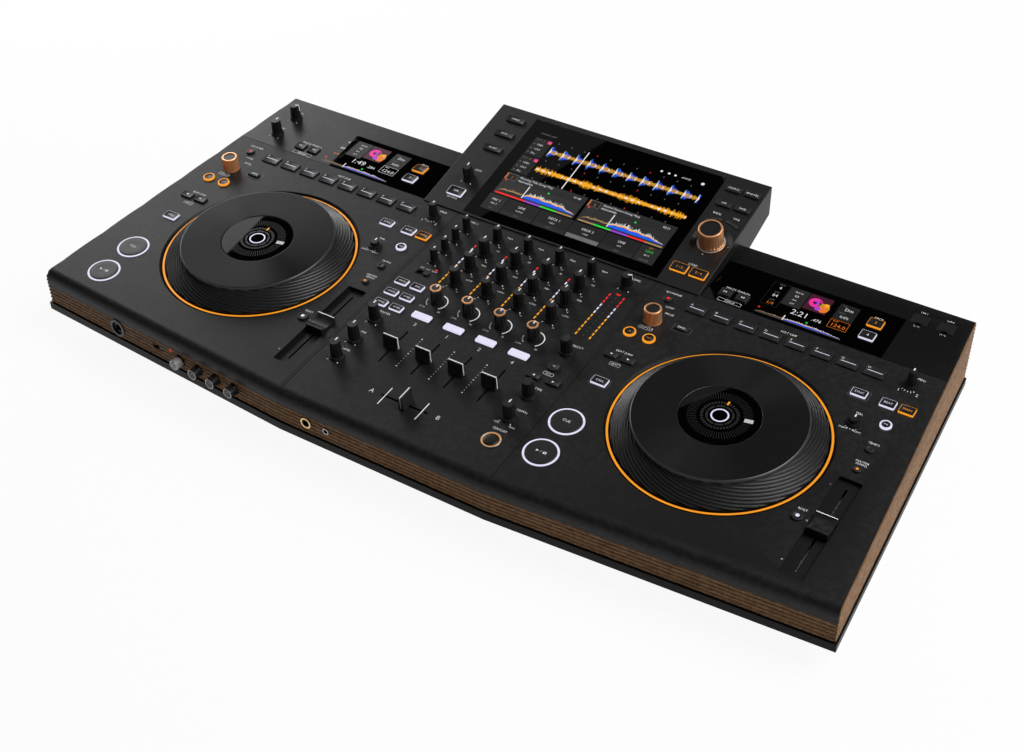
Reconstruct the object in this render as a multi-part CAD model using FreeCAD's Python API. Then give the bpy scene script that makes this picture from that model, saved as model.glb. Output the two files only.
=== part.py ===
import FreeCAD, Part
import math
import os
from FreeCAD import Placement, Rotation, Vector

# An all-in-one disc jockey console: two jog-wheel decks, a four-channel mixer between them
# and a raised touch screen. Millimetres, +X right, +Y to the back, +Z up, and the origin
# on the table under the middle of the console.

# Overall size
overall_width = 785.0
overall_depth = 420.1
overall_height = 121.3
deck_tilt = 4.39
side_taper = 4.49
front_setback = 20.4

# Heights, from the table up
foot_height = 10.0
tray_drop = 15.3
base_band = 7.6
trim_front_height = 19.4
deck_front_height = 64.6

# Casing
wall = 2.5
base_overhang = 1.5
lip_radius = 9.0
trim_thickness = 4.0
trim_edge = 1.0
trim_wrap = 20.0
mitre_gap = 0.1
rib_pitch = 3.88
rib_depth = 0.8
body_depth = 358.0
seam_half = 103.0
seam_gap = 0.3
groove_offset = 2.3
groove_width = 0.5
groove_depth = 0.4
rear_strip_along = 279.5
tray_inset = 30.0
inner_wall = 2.0
cutout_half = 143.4
mixer_cutout_half = 97.0
cutout_along = (287.0, 350.0)

# Fits between pieces
clearance = 0.3
running_fit = 0.05

# Screen housing, its slope measured from its own front edge
housing_half = 145.6
housing_fillet = 0.8
housing_front = 277.1
housing_front_rise = 1.2
housing_rear_bottom = 91.7
housing_body_bottom = 68.8
glass_thickness = 1.2
screen_glass = (205.8, 136.0)
screen_glass_start = 2.1
screen_module = (190.0, 116.0, 8.0)
screen_module_start = 10.8

# Decks, across from the jog axis and along the panel from the front of the base
jog_offset = 234.45
jog_along = 141.8

# Jog wheel, radii and heights over the deck
jog_top_radius = 71.0
jog_top_height = 15.7
jog_bevel = 1.3
jog_neck_radius = 69.4
jog_neck_height = 12.8
jog_rib_base_radius = 87.4
jog_rib_depth = 1.3
jog_rib_overlap = 0.6
jog_neck_overlap = (0.5, 1.2)
jog_window_chamfer = 0.4
jog_rib_count = 38
jog_rib_sweep = 52.0
jog_skirt_radius = 86.0
jog_skirt_drop = 4.0
jog_shell = 2.6
jog_web = (5.0, 9.0)
jog_hub_radius = 12.0
jog_hub_drop = 10.0
jog_window_radius = 33.0
jog_window_sink = 0.4
spindle_radius = 7.0
jog_hole_radius = 90.6
jog_hole_chamfer = 1.8
jog_well_depth = 13.0
ring_light_radius = 88.9
ring_light_width = 1.7
ring_light_sink = 1.6

# Tempo slider
tempo_across = 112.0
tempo_along = 87.8
tempo_pocket = (19.4, 108.2, 3.5)
tempo_slot_length = 92.0
tempo_cap = (17.2, 19.0)
tempo_cap_rise = 4.6
tempo_scoop = 3.2
tempo_scoop_share = 0.42

# Faders
fader_slot_width = 2.0
fader_slot_length = 42.6
fader_along = 95.3
fader_rest = -1.5
fader_cap = (14.4, 6.0, 13.6)
fader_cap_top = 2.8
crossfader_slot_length = 46.0
crossfader_place = (-1.2, 42.4)
crossfader_rest = 2.1
fader_cap_gap = 0.6
fader_waist = (0.5, 0.35)
cap_fillet = 0.4
stem = (1.2, 2.5)
carriage = (7.2, 5.0, 3.0)
carriage_gap = 0.5
track_width = 12.0
track_wall = 2.0
track_depth = 9.0

# Mixer layout
channel_across = (-50.3, -17.0, 16.1, 49.2)
channel_numbers = (3, 1, 2, 4)
trim_knob_along = 259.7
equaliser_along = {"high": 237.6, "mid": 214.2, "low": 190.6}
colour_along = 161.5
cue_bar_along = 138.1
cue_bar = (20.8, 8.2)
meter_offset = -13.9
meter_along = 214.4
meter = (2.4, 62.4)
master_meters = (76.8, 90.5)
clip_lamp = (83.7, 246.2)
mic_knobs_across = -84.3
mic_knobs_along = (259.7, 241.8, 224.5, 207.1)
mic_switch = (-84.5, 188.2)
mic_switch_slot = (14.0, 6.0)
mic_switch_lever = (5.6, 4.4)
mic_switch_rise = 1.4
mic_switch_corner = 0.6
mic_lamp = (-75.5, 197.1)
selector_across = (-93.2, -76.5)
selector_along = (168.7, 152.6, 136.7)
selector_key = (13.5, 8.6)
phones_knobs_across = -85.0
phones_knobs_along = (116.8, 87.0, 62.0)
master_knob = (84.0, 260.3)
effect_knobs = ((82.3, 160.8), (82.3, 100.6), (82.3, 71.3))
tap_button = (83.0, 139.2, 5.3)
arrow_across = (73.8, 92.5)
arrow_along = 122.4
arrow_key = (12.4, 7.0)
effect_switch = (83.3, 42.8)
effect_switch_radius = 6.9
effect_ring_radius = 8.4

# Knobs: skirt radius, radius at the foot of the grip, radius at its top, height
knob_sizes = {
    "equaliser": (6.9, 5.5, 4.6, 17.4),
    "colour": (5.9, 5.6, 4.9, 16.2),
    "trim": (5.3, 4.6, 3.9, 15.4),
    "microphone": (5.0, 3.9, 3.2, 15.0),
    "effect": (6.9, 5.6, 4.8, 16.0),
    "master": (6.8, 5.6, 4.9, 12.8),
    "level": (6.4, 5.5, 4.7, 15.8),
    "speed": (6.2, 4.6, 3.5, 15.4),
    "feel": (6.2, 4.4, 4.0, 5.8),
    "front": (5.2, 5.0, 4.8, 8.0),
}
knob_gap = 0.5
knob_skirt = 2.0
knob_chamfer = 0.4
knob_overlap = 0.2
pointer_start = 0.4
copper_fillet = 0.7
finger_groove_radius = 0.9
finger_groove_offset = 0.5
finger_groove_foot = 1.5
finger_groove_share = 0.72
pointer_stand = 0.2
pointer_sink = 1.0
knob_flutes = 12
flute_depth = 0.35
pointer = (0.8, 0.5)
shaft_radius = 3.0
copper_knob = (8.0, 7.6, 14.6)
browse_knob = (11.4, 11.0, 16.4)
copper_recess = (1.6, 0.8)
copper_flutes = 24
browse_place = (125.9, 61.7)
dish = (18.9, 13.5, 2.0)
arc_key = (25.0, 28.2)
arc_spans = ((56.0, 86.0), (95.0, 129.0))

# Buttons
button_flange = 1.0
button_corner = 0.8
key_rise = 1.8
pad = (17.5, 11.4)
pad_count = 8
pad_pitch = 23.2
pad_first = -81.85
pad_along = 260.7
pad_rise = 1.4
play_across = -109.3
play_along = 50.4
cue_along = 89.6
play_radius = 13.1
play_ring_radius = 15.0
play_rise = 1.4
ring_rise = 0.6

# Deck keys: across, along, width, length
deck_keys = (
    (-70.4, 292.8, 10.9, 9.4),
    (-54.7, 292.8, 10.9, 9.4),
    (57.6, 316.8, 13.1, 10.7),
    (57.6, 299.5, 13.1, 10.3),
    (79.2, 232.3, 13.1, 8.1),
    (104.0, 231.9, 12.7, 9.5),
    (120.1, 231.9, 12.9, 9.5),
    (-109.5, 142.8, 14.0, 9.0),
    (-117.7, 176.0, 12.4, 8.0),
    (-101.6, 176.0, 12.4, 8.0),
    (-81.8, 232.7, 11.9, 5.9),
)
# Round deck buttons: across, along, radius
deck_buttons = (
    (111.7, 208.7, 5.0),
    (111.5, 177.9, 3.6),
    (111.5, 153.5, 3.4),
    (92.2, 88.1, 4.8),
    (-118.2, 208.0, 5.7),
    (-99.6, 208.0, 5.7),
    (-109.9, 261.3, 4.3),
)
display_glass = (165.5, 54.5)
display_offset = -4.8
display_along = 307.6
display_module = (94.0, 40.0, 5.0)
loop_knob_place = (-108.0, 230.2)
speed_knob_place = (111.5, 261.8)
feel_knob_place = (88.8, 199.6)
level_knob_places = ((-106.4, 300.2), (-106.4, 330.5))

# Housing keys: across, along, width, length
screen_keys = (
    (-120.9, 127.7, 19.8, 7.5),
    (-120.9, 106.2, 19.8, 7.5),
    (-120.9, 84.8, 19.8, 7.5),
    (-122.0, 21.0, 16.4, 10.7),
    (115.6, 126.8, 15.4, 7.1),
    (134.3, 126.8, 14.8, 7.1),
    (115.6, 106.8, 15.4, 7.1),
    (134.3, 106.8, 14.8, 7.1),
    (115.4, 21.2, 15.6, 10.2),
    (134.2, 21.2, 15.6, 10.2),
)
echo_knob_place = (-120.5, 41.9)
screen_board_sink = 6.0
screen_board = (121.5, 74.0, 36.0, 118.0)

# USB pockets under hinged covers
usb_places = (88.0, 111.0)
usb_along = 340.1
usb_cover = (15.2, 13.2, 1.6)
usb_pocket_depth = 8.0
usb_socket = (14.0, 8.5, 13.0)
hinge_radius = 0.8
usb_cover_rise = 0.4

# Front controls, X and Z
combo_jack = (-299.4, 43.2)
combo_radius = 9.0
combo_recess = (7.6, 12.0)
front_switch = (-247.5, 45.0)
front_switch_slot = (12.6, 4.4)
front_switch_lever = (4.6, 3.6)
front_lever_sink = 0.6
front_lamp = (-230.6, 49.4)
lamp_radius = 1.2
lamp_rise = 0.1
clip_size = (4.2, 1.6)
front_board_sink = 10.0
front_knobs_x = (-220.3, -198.0, -176.8, -155.2)
front_knobs_z = 42.6
large_jack = (-73.7, 44.3)
large_jack_bore = (3.2, 24.0)
large_jack_radius = 5.2
small_jack = (-52.8, 44.6)
small_jack_bore = (1.8, 14.0)
small_jack_radius = 3.0
jack_wall = 1.4
jack_rise = 0.8

# Rear controls, X and Z
rear_seams = (-210.0, 155.0)
power_inlet = (300.0, 58.0)
power_inlet_size = (24.0, 17.0, 18.0)
power_pin_places = (-6.0, 0.0, 6.0)
power_switch = (256.0, 58.0)
power_switch_size = (12.0, 19.0)
rocker_tilt = 8.0
rocker_rise = 2.4
rocker_ridge = 1.2
network_socket = (218.0, 50.0)
network_size = (12.0, 9.0, 16.0)
usb_b_socket = (190.0, 50.0)
usb_b_size = (8.6, 8.0, 12.0)
phono_x = (-30.0, -10.0, 35.0, 55.0, 100.0, 120.0, -75.0, -95.0, -150.0, -170.0)
phono_z = (44.0, 58.0)
phono_radii = (4.2, 1.6)
balanced_x = (-255.0, -300.0)
balanced_z = 60.0
balanced_radii = (12.0, 9.6)
balanced_depth = 18.0
socket_rise = 1.2
pin_length = 7.0
pin_radius = 1.1

# Boards, power supply and fasteners
board_thickness = 1.6
board_sink = 12.0
board_post_radius = 2.5
board_post_inset = 4.0
deck_boards = ((-122.0, 122.0, 240.0, 284.0), (-128.0, -97.0, 28.0, 228.0), (98.0, 128.0, 150.0, 222.0))
mixer_board = (-96.0, 96.0, 30.0, 272.0)
supply_board = (260.0, 60.0, 100.0, 70.0)
foot_radius = 13.0
foot_places = ((320.0, -140.0), (300.0, 90.0), (110.0, -150.0))
screw_shank = 1.5
screw_head = (3.0, 1.6)
screw_slot = (0.6, 0.8)
upright_share = 0.9
same_place = 0.01
screw_length = 12.0
screw_post_radius = 4.0
screw_places = ((340.0, -80.0), (315.0, 60.0), (220.0, -150.0), (200.0, 100.0), (60.0, -160.0))

# Sizes worked out from those above
far = 1000.0
through = 100.0
taper = math.radians(side_taper)
front_slope = front_setback / (overall_width / 2 - seam_half)
front_angle = math.atan(front_slope)
nearest_knob_line = base_overhang + (min(abs(x) for x in front_knobs_x) - seam_half) * front_slope
_, _, front_knob_top, front_knob_height = knob_sizes["front"]
front_knob_tip = front_knob_height * math.cos(front_angle) + front_knob_top * math.sin(front_angle)
front_y = -overall_depth / 2 + max(0.0, front_knob_tip - nearest_knob_line)
body_back_y = front_y + body_depth
base_bottom = foot_height + tray_drop
base_top = base_bottom + base_band
lip_bottom = base_top + trim_front_height
housing_front_y = front_y + housing_front
housing_back_y = overall_depth / 2


def deck_height(y):
    return deck_front_height + (y - front_y) * math.tan(math.radians(deck_tilt))


def deck_y(along):
    return front_y + along * math.cos(math.radians(deck_tilt))


housing_front_height = deck_height(housing_front_y) + housing_front_rise
housing_slope = (overall_height - housing_front_height) / (housing_back_y - housing_front_y)
housing_tilt = math.degrees(math.atan(housing_slope))
deck_frame = Placement(Vector(0, front_y, deck_front_height), Rotation(Vector(1, 0, 0), deck_tilt))
housing_frame = Placement(
    Vector(0, housing_front_y, housing_front_height), Rotation(Vector(1, 0, 0), housing_tilt))


# Plain shapes in a panel's own frame: across it, along it and out of it
def block(across, along, out):
    corner = Vector(across[0], along[0], out[0])
    return Part.makeBox(across[1] - across[0], along[1] - along[0], out[1] - out[0], corner)


def centred(across, along, width, length, low, high):
    return block((across - width / 2, across + width / 2),
                 (along - length / 2, along + length / 2), (low, high))


def rounded(across, along, width, length, low, high, corner):
    solid = centred(across, along, width, length, low, high)
    upright = [edge for edge in solid.Edges if abs(edge.tangentAt(edge.FirstParameter).z) > upright_share]
    return solid.makeFillet(corner, upright)


def disc(across, along, radius, low, high):
    return Part.makeCylinder(radius, high - low, Vector(across, along, low))


def ring(across, along, outer, inner, low, high):
    return disc(across, along, outer, low, high).cut(disc(across, along, inner, low - 1, high + 1))


def turned(profile):
    points = [Vector(radius, 0, height) for radius, height in profile]
    face = Part.Face(Part.makePolygon(points + points[:1]))
    return face.revolve(Vector(0, 0, 0), Vector(0, 0, 1), 360)


def prism(points, low, high):
    corners = [Vector(x, y, low) for x, y in points]
    return Part.Face(Part.makePolygon(corners + corners[:1])).extrude(Vector(0, 0, high - low))


def side_profile(points, half_width):
    corners = [Vector(-half_width, y, z) for y, z in points]
    return Part.Face(Part.makePolygon(corners + corners[:1])).extrude(Vector(2 * half_width, 0, 0))


def at(shape, across, along, turn=0.0):
    return placed(shape, Placement(Vector(across, along, 0), Rotation(Vector(0, 0, 1), turn)))


def placed(shape, frame):
    moved = shape.copy()
    moved.Placement = frame.multiply(moved.Placement)
    return moved


def on_deck(shape):
    return placed(shape, deck_frame)


def on_housing(shape):
    return placed(shape, housing_frame)


def joined(shapes):
    return shapes[0].fuse(list(shapes[1:])).removeSplitter()


def group(shapes):
    return Part.makeCompound([solid for shape in shapes for solid in shape.Solids])


# Plan of the casing
def side_x(y, inset=0.0):
    front_corner = overall_width / 2 - (y - front_y - front_setback) * math.tan(taper)
    return front_corner - (base_overhang + inset) / math.cos(taper)


def front_line_y(x, inset=0.0):
    return front_y + base_overhang + inset + max(0.0, abs(x) - seam_half) * front_slope


def front_corner(front_inset, side_inset):
    start = front_line_y(0.0, front_inset)
    lead = (start - seam_half * front_slope - front_y - front_setback) * math.tan(taper)
    widest = overall_width / 2 - (base_overhang + side_inset) / math.cos(taper)
    x = (widest - lead) / (1 + front_slope * math.tan(taper))
    return x, start + (x - seam_half) * front_slope


def plan_outline(front_inset, side_inset, back_y=body_back_y):
    right = [(seam_half, front_line_y(seam_half, front_inset)), front_corner(front_inset, side_inset),
             (side_x(back_y, side_inset), back_y)]
    left = [(-x, y) for x, y in reversed(right)]
    return right + left


def between_sides(inset, low, high):
    front = front_y - base_overhang
    back = body_back_y + base_overhang
    right = [(side_x(front, inset), front), (side_x(back, inset), back)]
    left = [(-x, y) for x, y in reversed(right)]
    return prism(right + left, low, high)


def above_deck(drop):
    return on_deck(block((-far, far), (-far, far), (-drop, far)))


def body_wedge(front_inset, side_inset, drop, radius, low, back_y=body_back_y):
    outline = plan_outline(front_inset, side_inset, back_y)
    solid = prism(outline, low, overall_height).cut(above_deck(drop))
    to_deck = deck_frame.inverse()
    lip_edges = []
    for edge in solid.Edges:
        ends = [to_deck.multVec(vertex.Point) for vertex in edge.Vertexes]
        on_plane = all(abs(end.z + drop) < same_place for end in ends)
        if on_plane and edge.CenterOfMass.y < front_y + 2 * front_setback:
            lip_edges.append(edge)
    return solid.makeFillet(radius, lip_edges)


def skin_room():
    inner = body_wedge(wall, -wall, wall, lip_radius - wall, lip_bottom - 1, body_back_y + 1)
    return between_sides(trim_edge, lip_bottom, overall_height).cut(inner)


def panel_shell():
    return body_wedge(0, 0, 0, lip_radius, lip_bottom).common(skin_room())


# Places on the front and the back: X, Z, then shapes built with their own z pointing out
def on_front(shape, place):
    x, z = place
    turn = 0.0
    if abs(x) > seam_half:
        turn = math.degrees(front_angle) * (1 if x > 0 else -1)
    stand = Rotation(Vector(0, 0, 1), turn).multiply(Rotation(Vector(1, 0, 0), 90))
    return placed(shape, Placement(Vector(x, front_line_y(x), z), stand))


def on_back(shape, place):
    x, z = place
    stand = Rotation(Vector(0, 0, 1), 180).multiply(Rotation(Vector(1, 0, 0), 90))
    return placed(shape, Placement(Vector(x, body_back_y, z), stand))


# Bottom case, trim and feet
def bottom_case():
    band = prism(plan_outline(-base_overhang, -base_overhang, body_back_y), base_bottom, base_top)
    tray_back = body_back_y - tray_inset
    tray = prism(plan_outline(tray_inset, tray_inset, tray_back), foot_height, base_bottom)
    outside = trim_thickness + running_fit
    upright = prism(plan_outline(outside, outside, body_back_y - outside), base_top, lip_bottom)
    inset = trim_thickness + inner_wall
    room = prism(plan_outline(inset, inset, body_back_y + 1), base_bottom + wall, lip_bottom + 1)
    inner_inset = tray_inset + wall
    tray_room = prism(plan_outline(inner_inset, inner_inset, tray_back - wall),
                      foot_height + wall, base_bottom + wall + 1)
    back_rim = prism(plan_outline(inset, inset, body_back_y), base_bottom + wall, base_top)
    back_rim = back_rim.common(block((-far, far), (body_back_y - inset, far), (0, base_top)))
    case = joined([band, tray, upright]).cut([room, tray_room])
    case = joined([case, back_rim] + [screw_post(x, y) for x, y in both_sides(screw_places)])
    holes = [screw_hole(x, y) for x, y in both_sides(screw_places)]
    return case.cut(holes + front_holes())


def both_sides(places):
    return [(side * x, y) for x, y in places for side in (1, -1)]


def screw_post(x, y):
    return disc(x, y, screw_post_radius, foot_height, foot_height + screw_head[1] + screw_length + wall)


def screw_hole(x, y):
    head = disc(x, y, screw_head[0] + clearance, foot_height - 1, foot_height + screw_head[1])
    top = foot_height + screw_head[1] + screw_length
    return head.fuse(disc(x, y, screw_shank, foot_height, top))


def case_screws():
    screws = []
    for x, y in both_sides(screw_places):
        head_top = foot_height + screw_head[1]
        head = disc(x, y, screw_head[0], foot_height, head_top)
        shank = disc(x, y, screw_shank, foot_height, head_top + screw_length)
        slot, depth = screw_slot
        drive = centred(x, y, screw_head[0], slot, foot_height - 1, foot_height + depth)
        cross = centred(x, y, slot, screw_head[0], foot_height - 1, foot_height + depth)
        screws.append(head.fuse(shank).cut([drive, cross]))
    return group(screws)


def rubber_feet():
    profile = [(0, 0), (foot_radius - 2, 0), (foot_radius - 1, 1),
               (foot_radius, foot_height), (0, foot_height)]
    return group([at(turned(profile), x, y) for x, y in both_sides(foot_places)])


def rib_profile(start, direction, height):
    inward = Vector(-direction.y, direction.x, 0)
    ribs = math.ceil(height / rib_pitch)
    edges = []
    for rib in range(ribs):
        low = start + Vector(0, 0, rib * rib_pitch) + inward * rib_depth
        high = low + Vector(0, 0, rib_pitch)
        crest = (low + high) * 0.5 - inward * rib_depth
        edges.append(Part.Arc(low, crest, high).toShape())
    bottom = start + inward * rib_depth
    inner_top = start + Vector(0, 0, ribs * rib_pitch) + inward * trim_thickness
    inner_bottom = start + inward * trim_thickness
    edges.append(Part.makeLine(high, inner_top))
    edges.append(Part.makeLine(inner_top, inner_bottom))
    edges.append(Part.makeLine(inner_bottom, bottom))
    return Part.Wire(Part.__sortEdges__(edges))


def past_corner(corner, direction):
    turn = math.degrees(math.atan2(direction.y, direction.x))
    room = block((-mitre_gap / 2, far), (-far, far), (-far, far))
    return placed(room, Placement(corner, Rotation(Vector(0, 0, 1), turn)))


def trim_runs():
    outline = plan_outline(0, 0)
    right = outline[:3] + [(outline[2][0] - trim_wrap, body_back_y)]
    plan = [(-x, y) for x, y in reversed(right)] + right
    corners = [Vector(x, y, base_top) for x, y in plan]
    directions = [(end - start).normalize() for start, end in zip(corners, corners[1:])]
    height = deck_height(body_back_y) - base_top
    runs = []
    for index, direction in enumerate(directions):
        length = corners[index + 1] - corners[index]
        run = Part.Face(rib_profile(corners[index], direction, height)).extrude(length)
        if index > 0:
            run = run.cut(past_corner(corners[index], Vector(0, 0, 0) - direction - directions[index - 1]))
        if index < len(directions) - 1:
            run = run.cut(past_corner(corners[index + 1], direction + directions[index + 1]))
        runs.append(run)
    return runs


def fluted_trim():
    slack = -rib_depth / 10
    envelope = body_wedge(slack, slack, 0, lip_radius, base_top, body_back_y - slack)
    front_room = between_sides(trim_thickness, lip_bottom, overall_height)
    front_room = front_room.common(block((-far, far), (-far, deck_y(jog_along)), (0, far)))
    cuts = [front_room, skin_room()] + front_holes()
    return group([run.common(envelope).cut(cuts) for run in trim_runs()])


def front_holes():
    holes = [
        on_front(disc(0, 0, combo_radius, -through, wall), combo_jack),
        on_front(centred(0, 0, *front_switch_slot, -3 * trim_thickness, wall), front_switch),
        on_front(disc(0, 0, lamp_radius, -trim_thickness - inner_wall - 1, wall), front_lamp),
        on_front(disc(0, 0, large_jack_radius, -through, wall), large_jack),
        on_front(disc(0, 0, small_jack_radius, -through, wall), small_jack),
    ]
    front_radius = knob_sizes["front"][0] + clearance
    for knob_x in front_knobs_x:
        place = (knob_x, front_knobs_z)
        holes.append(on_front(disc(0, 0, front_radius, -trim_thickness, wall), place))
        holes.append(on_front(disc(0, 0, shaft_radius + clearance, -3 * trim_thickness, wall), place))
    return holes


# Knobs and buttons, standing on a panel whose surface is at zero
def fluted_grip(low_radius, high_radius, low, high):
    wires = []
    for radius, height in ((low_radius, low), (high_radius, high)):
        corners = []
        for step in range(2 * knob_flutes):
            angle = math.pi * step / knob_flutes
            reach = radius - (flute_depth if step % 2 else 0.0)
            corners.append(Vector(reach * math.cos(angle), reach * math.sin(angle), height))
        wires.append(Part.makePolygon(corners + corners[:1]))
    return Part.makeLoft(wires, True, True)


def knob(style, across, along, shaft_drop):
    skirt_radius, low_radius, high_radius, height = knob_sizes[style]
    skirt_top = knob_gap + knob_skirt
    skirt = Part.makeCone(skirt_radius, skirt_radius - knob_chamfer, knob_skirt, Vector(0, 0, knob_gap))
    grip = fluted_grip(low_radius, high_radius, skirt_top - knob_overlap, height)
    half = pointer[0] / 2
    line = block((-half, half), (pointer_start * high_radius, high_radius),
                 (height - pointer_sink, height + pointer_stand))
    solid = joined([skirt, grip, line, disc(0, 0, shaft_radius, -shaft_drop, skirt_top)])
    return at(solid, across, along)


def copper_style_knob(sizes, across, along, shaft_drop, foot=0.0):
    low_radius, high_radius, height = sizes
    wall_width, recess = copper_recess
    body = Part.makeCone(low_radius, high_radius, height - foot - knob_gap, Vector(0, 0, foot + knob_gap))
    top_edge = [edge for edge in body.Edges if abs(edge.CenterOfMass.z - height) < same_place]
    body = body.makeFillet(copper_fillet, top_edge)
    body = body.cut(disc(0, 0, high_radius - wall_width, height - recess, height + 1))
    flutes = []
    for step in range(copper_flutes):
        angle = 2 * math.pi * step / copper_flutes
        reach = low_radius + finger_groove_offset
        flutes.append(disc(reach * math.cos(angle), reach * math.sin(angle), finger_groove_radius,
                           foot + finger_groove_foot, finger_groove_share * height))
    solid = joined([body.cut(flutes), disc(0, 0, shaft_radius, -shaft_drop, height / 2)])
    return at(solid, across, along)


def shaft_hole(across, along):
    return disc(across, along, shaft_radius + clearance, -2 * wall, wall)


def key(across, along, width, length, rise=key_rise):
    low = -wall - clearance
    cap = rounded(across, along, width, length, low, rise, button_corner)
    top = [edge for edge in cap.Edges if all(abs(v.Z - rise) < same_place for v in edge.Vertexes)]
    cap = cap.makeFillet(cap_fillet, top)
    flange = centred(across, along, width + 2 * button_flange, length + 2 * button_flange, low - 1, low)
    return joined([cap, flange])


def key_hole(across, along, width, length):
    return rounded(across, along, width + 2 * clearance, length + 2 * clearance,
                   -2 * wall, wall, button_corner + clearance)


def round_button(across, along, radius, rise=key_rise):
    low = -wall - clearance
    cap = disc(across, along, radius, low, rise)
    top = [edge for edge in cap.Edges
           if abs(edge.CenterOfMass.z - rise) < same_place and len(edge.Vertexes) == 1]
    cap = cap.makeFillet(cap_fillet, top)
    return joined([cap, disc(across, along, radius + button_flange, low - 1, low)])


def round_hole(across, along, radius):
    return disc(across, along, radius + clearance, -2 * wall, wall)


def arc_sector(inner, outer, start, end, low, high):
    sector = Part.makeCylinder(outer, high - low, Vector(0, 0, low), Vector(0, 0, 1), end - start)
    sector = sector.cut(disc(0, 0, inner, low - 1, high + 1))
    sector.rotate(Vector(0, 0, 0), Vector(0, 0, 1), start)
    return sector


def arc_button(span):
    low = -wall - clearance
    cap = arc_sector(*arc_key, *span, low, key_rise / 2)
    flange = arc_sector(arc_key[0], arc_key[1] + button_flange, span[0] - 1, span[1] + 1, low - 1, low)
    return at(joined([cap, flange]), *browse_place)


def arc_hole(span):
    slack = math.degrees(clearance / arc_key[0])
    hole = arc_sector(arc_key[0] - clearance, arc_key[1] + clearance, span[0] - slack, span[1] + slack,
                      -2 * wall, wall)
    return at(hole, *browse_place)


# Sliders
def slider_stem(top):
    shaft = centred(0, 0, *stem, top - carriage_gap - carriage[2], fader_cap_gap)
    slide = centred(0, 0, carriage[0], carriage[1], top - carriage_gap - carriage[2], top - carriage_gap)
    return shaft.fuse(slide)


def fader():
    width, base, height = fader_cap
    waist = fader_waist[0] * (base + fader_cap_top)
    waist_height = fader_waist[1] * height
    profile = [(-base / 2, fader_cap_gap), (base / 2, fader_cap_gap), (waist / 2, waist_height),
               (fader_cap_top / 2, height), (-fader_cap_top / 2, height), (-waist / 2, waist_height)]
    return joined([side_profile(profile, width / 2), slider_stem(-wall)])


def track(slot_length, top):
    cavity_length = slot_length + carriage[1]
    outer = centred(0, 0, track_width, cavity_length + 2 * track_wall, top - track_depth, top)
    floor = top - track_depth + track_wall
    room = centred(0, 0, track_width - 2 * track_wall, cavity_length, floor, top + 1)
    return outer.cut(room)


def tempo_slider():
    width, length = tempo_cap
    low = -tempo_pocket[2] + fader_cap_gap
    solid = centred(0, 0, width, length, low, tempo_cap_rise)
    scoop_radius = (length * tempo_scoop_share) ** 2 / (2 * tempo_scoop) + tempo_scoop / 2
    axis_height = tempo_cap_rise + scoop_radius - tempo_scoop
    scoop = Part.makeCylinder(scoop_radius, 2 * width, Vector(-width, 0, axis_height),
                              Vector(1, 0, 0))
    solid = solid.cut(scoop)
    upright = [edge for edge in solid.Edges if abs(edge.CenterOfMass.z - tempo_cap_rise) < 0.05]
    solid = solid.makeFillet(cap_fillet, [edge for edge in upright if edge.Length > width - 1])
    lower = slider_stem(-tempo_pocket[2] - track_wall)
    return joined([solid, lower])


# Decks: side is -1 for the left deck and 1 for the right one
def deck_at(shape, side, across=0.0, along=0.0, turn=0.0):
    return at(shape, side * jog_offset + across, along, turn)


def deck_panel(side):
    shell = panel_shell()
    edge = seam_half + seam_gap / 2
    across = (edge, far) if side > 0 else (-far, -edge)
    side_part = block(across, (-far, far), (0, far))
    shell = shell.common(side_part)
    well = disc(0, 0, jog_hole_radius + wall, -jog_well_depth - wall, -wall / 2)
    room = disc(0, 0, jog_hole_radius, -jog_well_depth, wall)
    edge_cut = Part.makeCone(jog_hole_radius, jog_hole_radius + 2 * jog_hole_chamfer, 2 * jog_hole_chamfer,
                             Vector(0, 0, -jog_hole_chamfer))
    pocket_width, pocket_length, pocket_depth = tempo_pocket
    tray = centred(tempo_across, tempo_along, pocket_width + 2 * track_wall, pocket_length + 2 * track_wall,
                   -pocket_depth - track_wall, -wall / 2)
    added = [deck_at(well, side, 0, jog_along), deck_at(tray, side)]
    added += [deck_at(post, side) for post in board_posts(deck_boards)]
    cuts = [deck_at(room, side, 0, jog_along), deck_at(edge_cut, side, 0, jog_along)]
    pocket = rounded(tempo_across, tempo_along, pocket_width, pocket_length, -pocket_depth, wall, 2)
    slot = centred(tempo_across, tempo_along, fader_slot_width, tempo_slot_length, -through, wall)
    display = centred(side * display_offset, display_along, *display_glass, -glass_thickness, wall)
    cuts += [deck_at(shape, side) for shape in (pocket, slot, display)]
    cuts.append(deck_at(display_back(-2 * wall), side))
    cuts += [deck_at(hole, side) for hole in deck_holes()]
    cuts += panel_grooves(side)
    cuts.append(housing_cutout(cutout_half))
    if side > 0:
        added += [deck_at(usb_pocket(place), side) for place in usb_places]
        cuts += [deck_at(usb_room(place), side) for place in usb_places]
    else:
        cuts += [deck_at(shaft_hole(*place), side) for place in level_knob_places]
    solid = joined([shell] + [on_deck(shape) for shape in added])
    return solid.cut([on_deck(shape) for shape in cuts])


def panel_grooves(side):
    across = side * (seam_half + groove_offset)
    length = (lip_radius, deck_along(body_back_y))
    seam = block((across - groove_width / 2, across + groove_width / 2), length, (-groove_depth, wall))
    low = min(side * seam_half, side * overall_width / 2)
    along = (rear_strip_along, rear_strip_along + groove_width)
    strip = block((low, low + overall_width / 2 - seam_half), along, (-groove_depth, wall))
    return [seam, strip]


def deck_along(y):
    return (y - front_y) / math.cos(math.radians(deck_tilt))


def housing_cutout(half):
    return block((-half, half), cutout_along, (-2 * wall, wall))


def display_back(low):
    return centred(0, display_along, display_module[0], display_module[1], low, 0)


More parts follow.
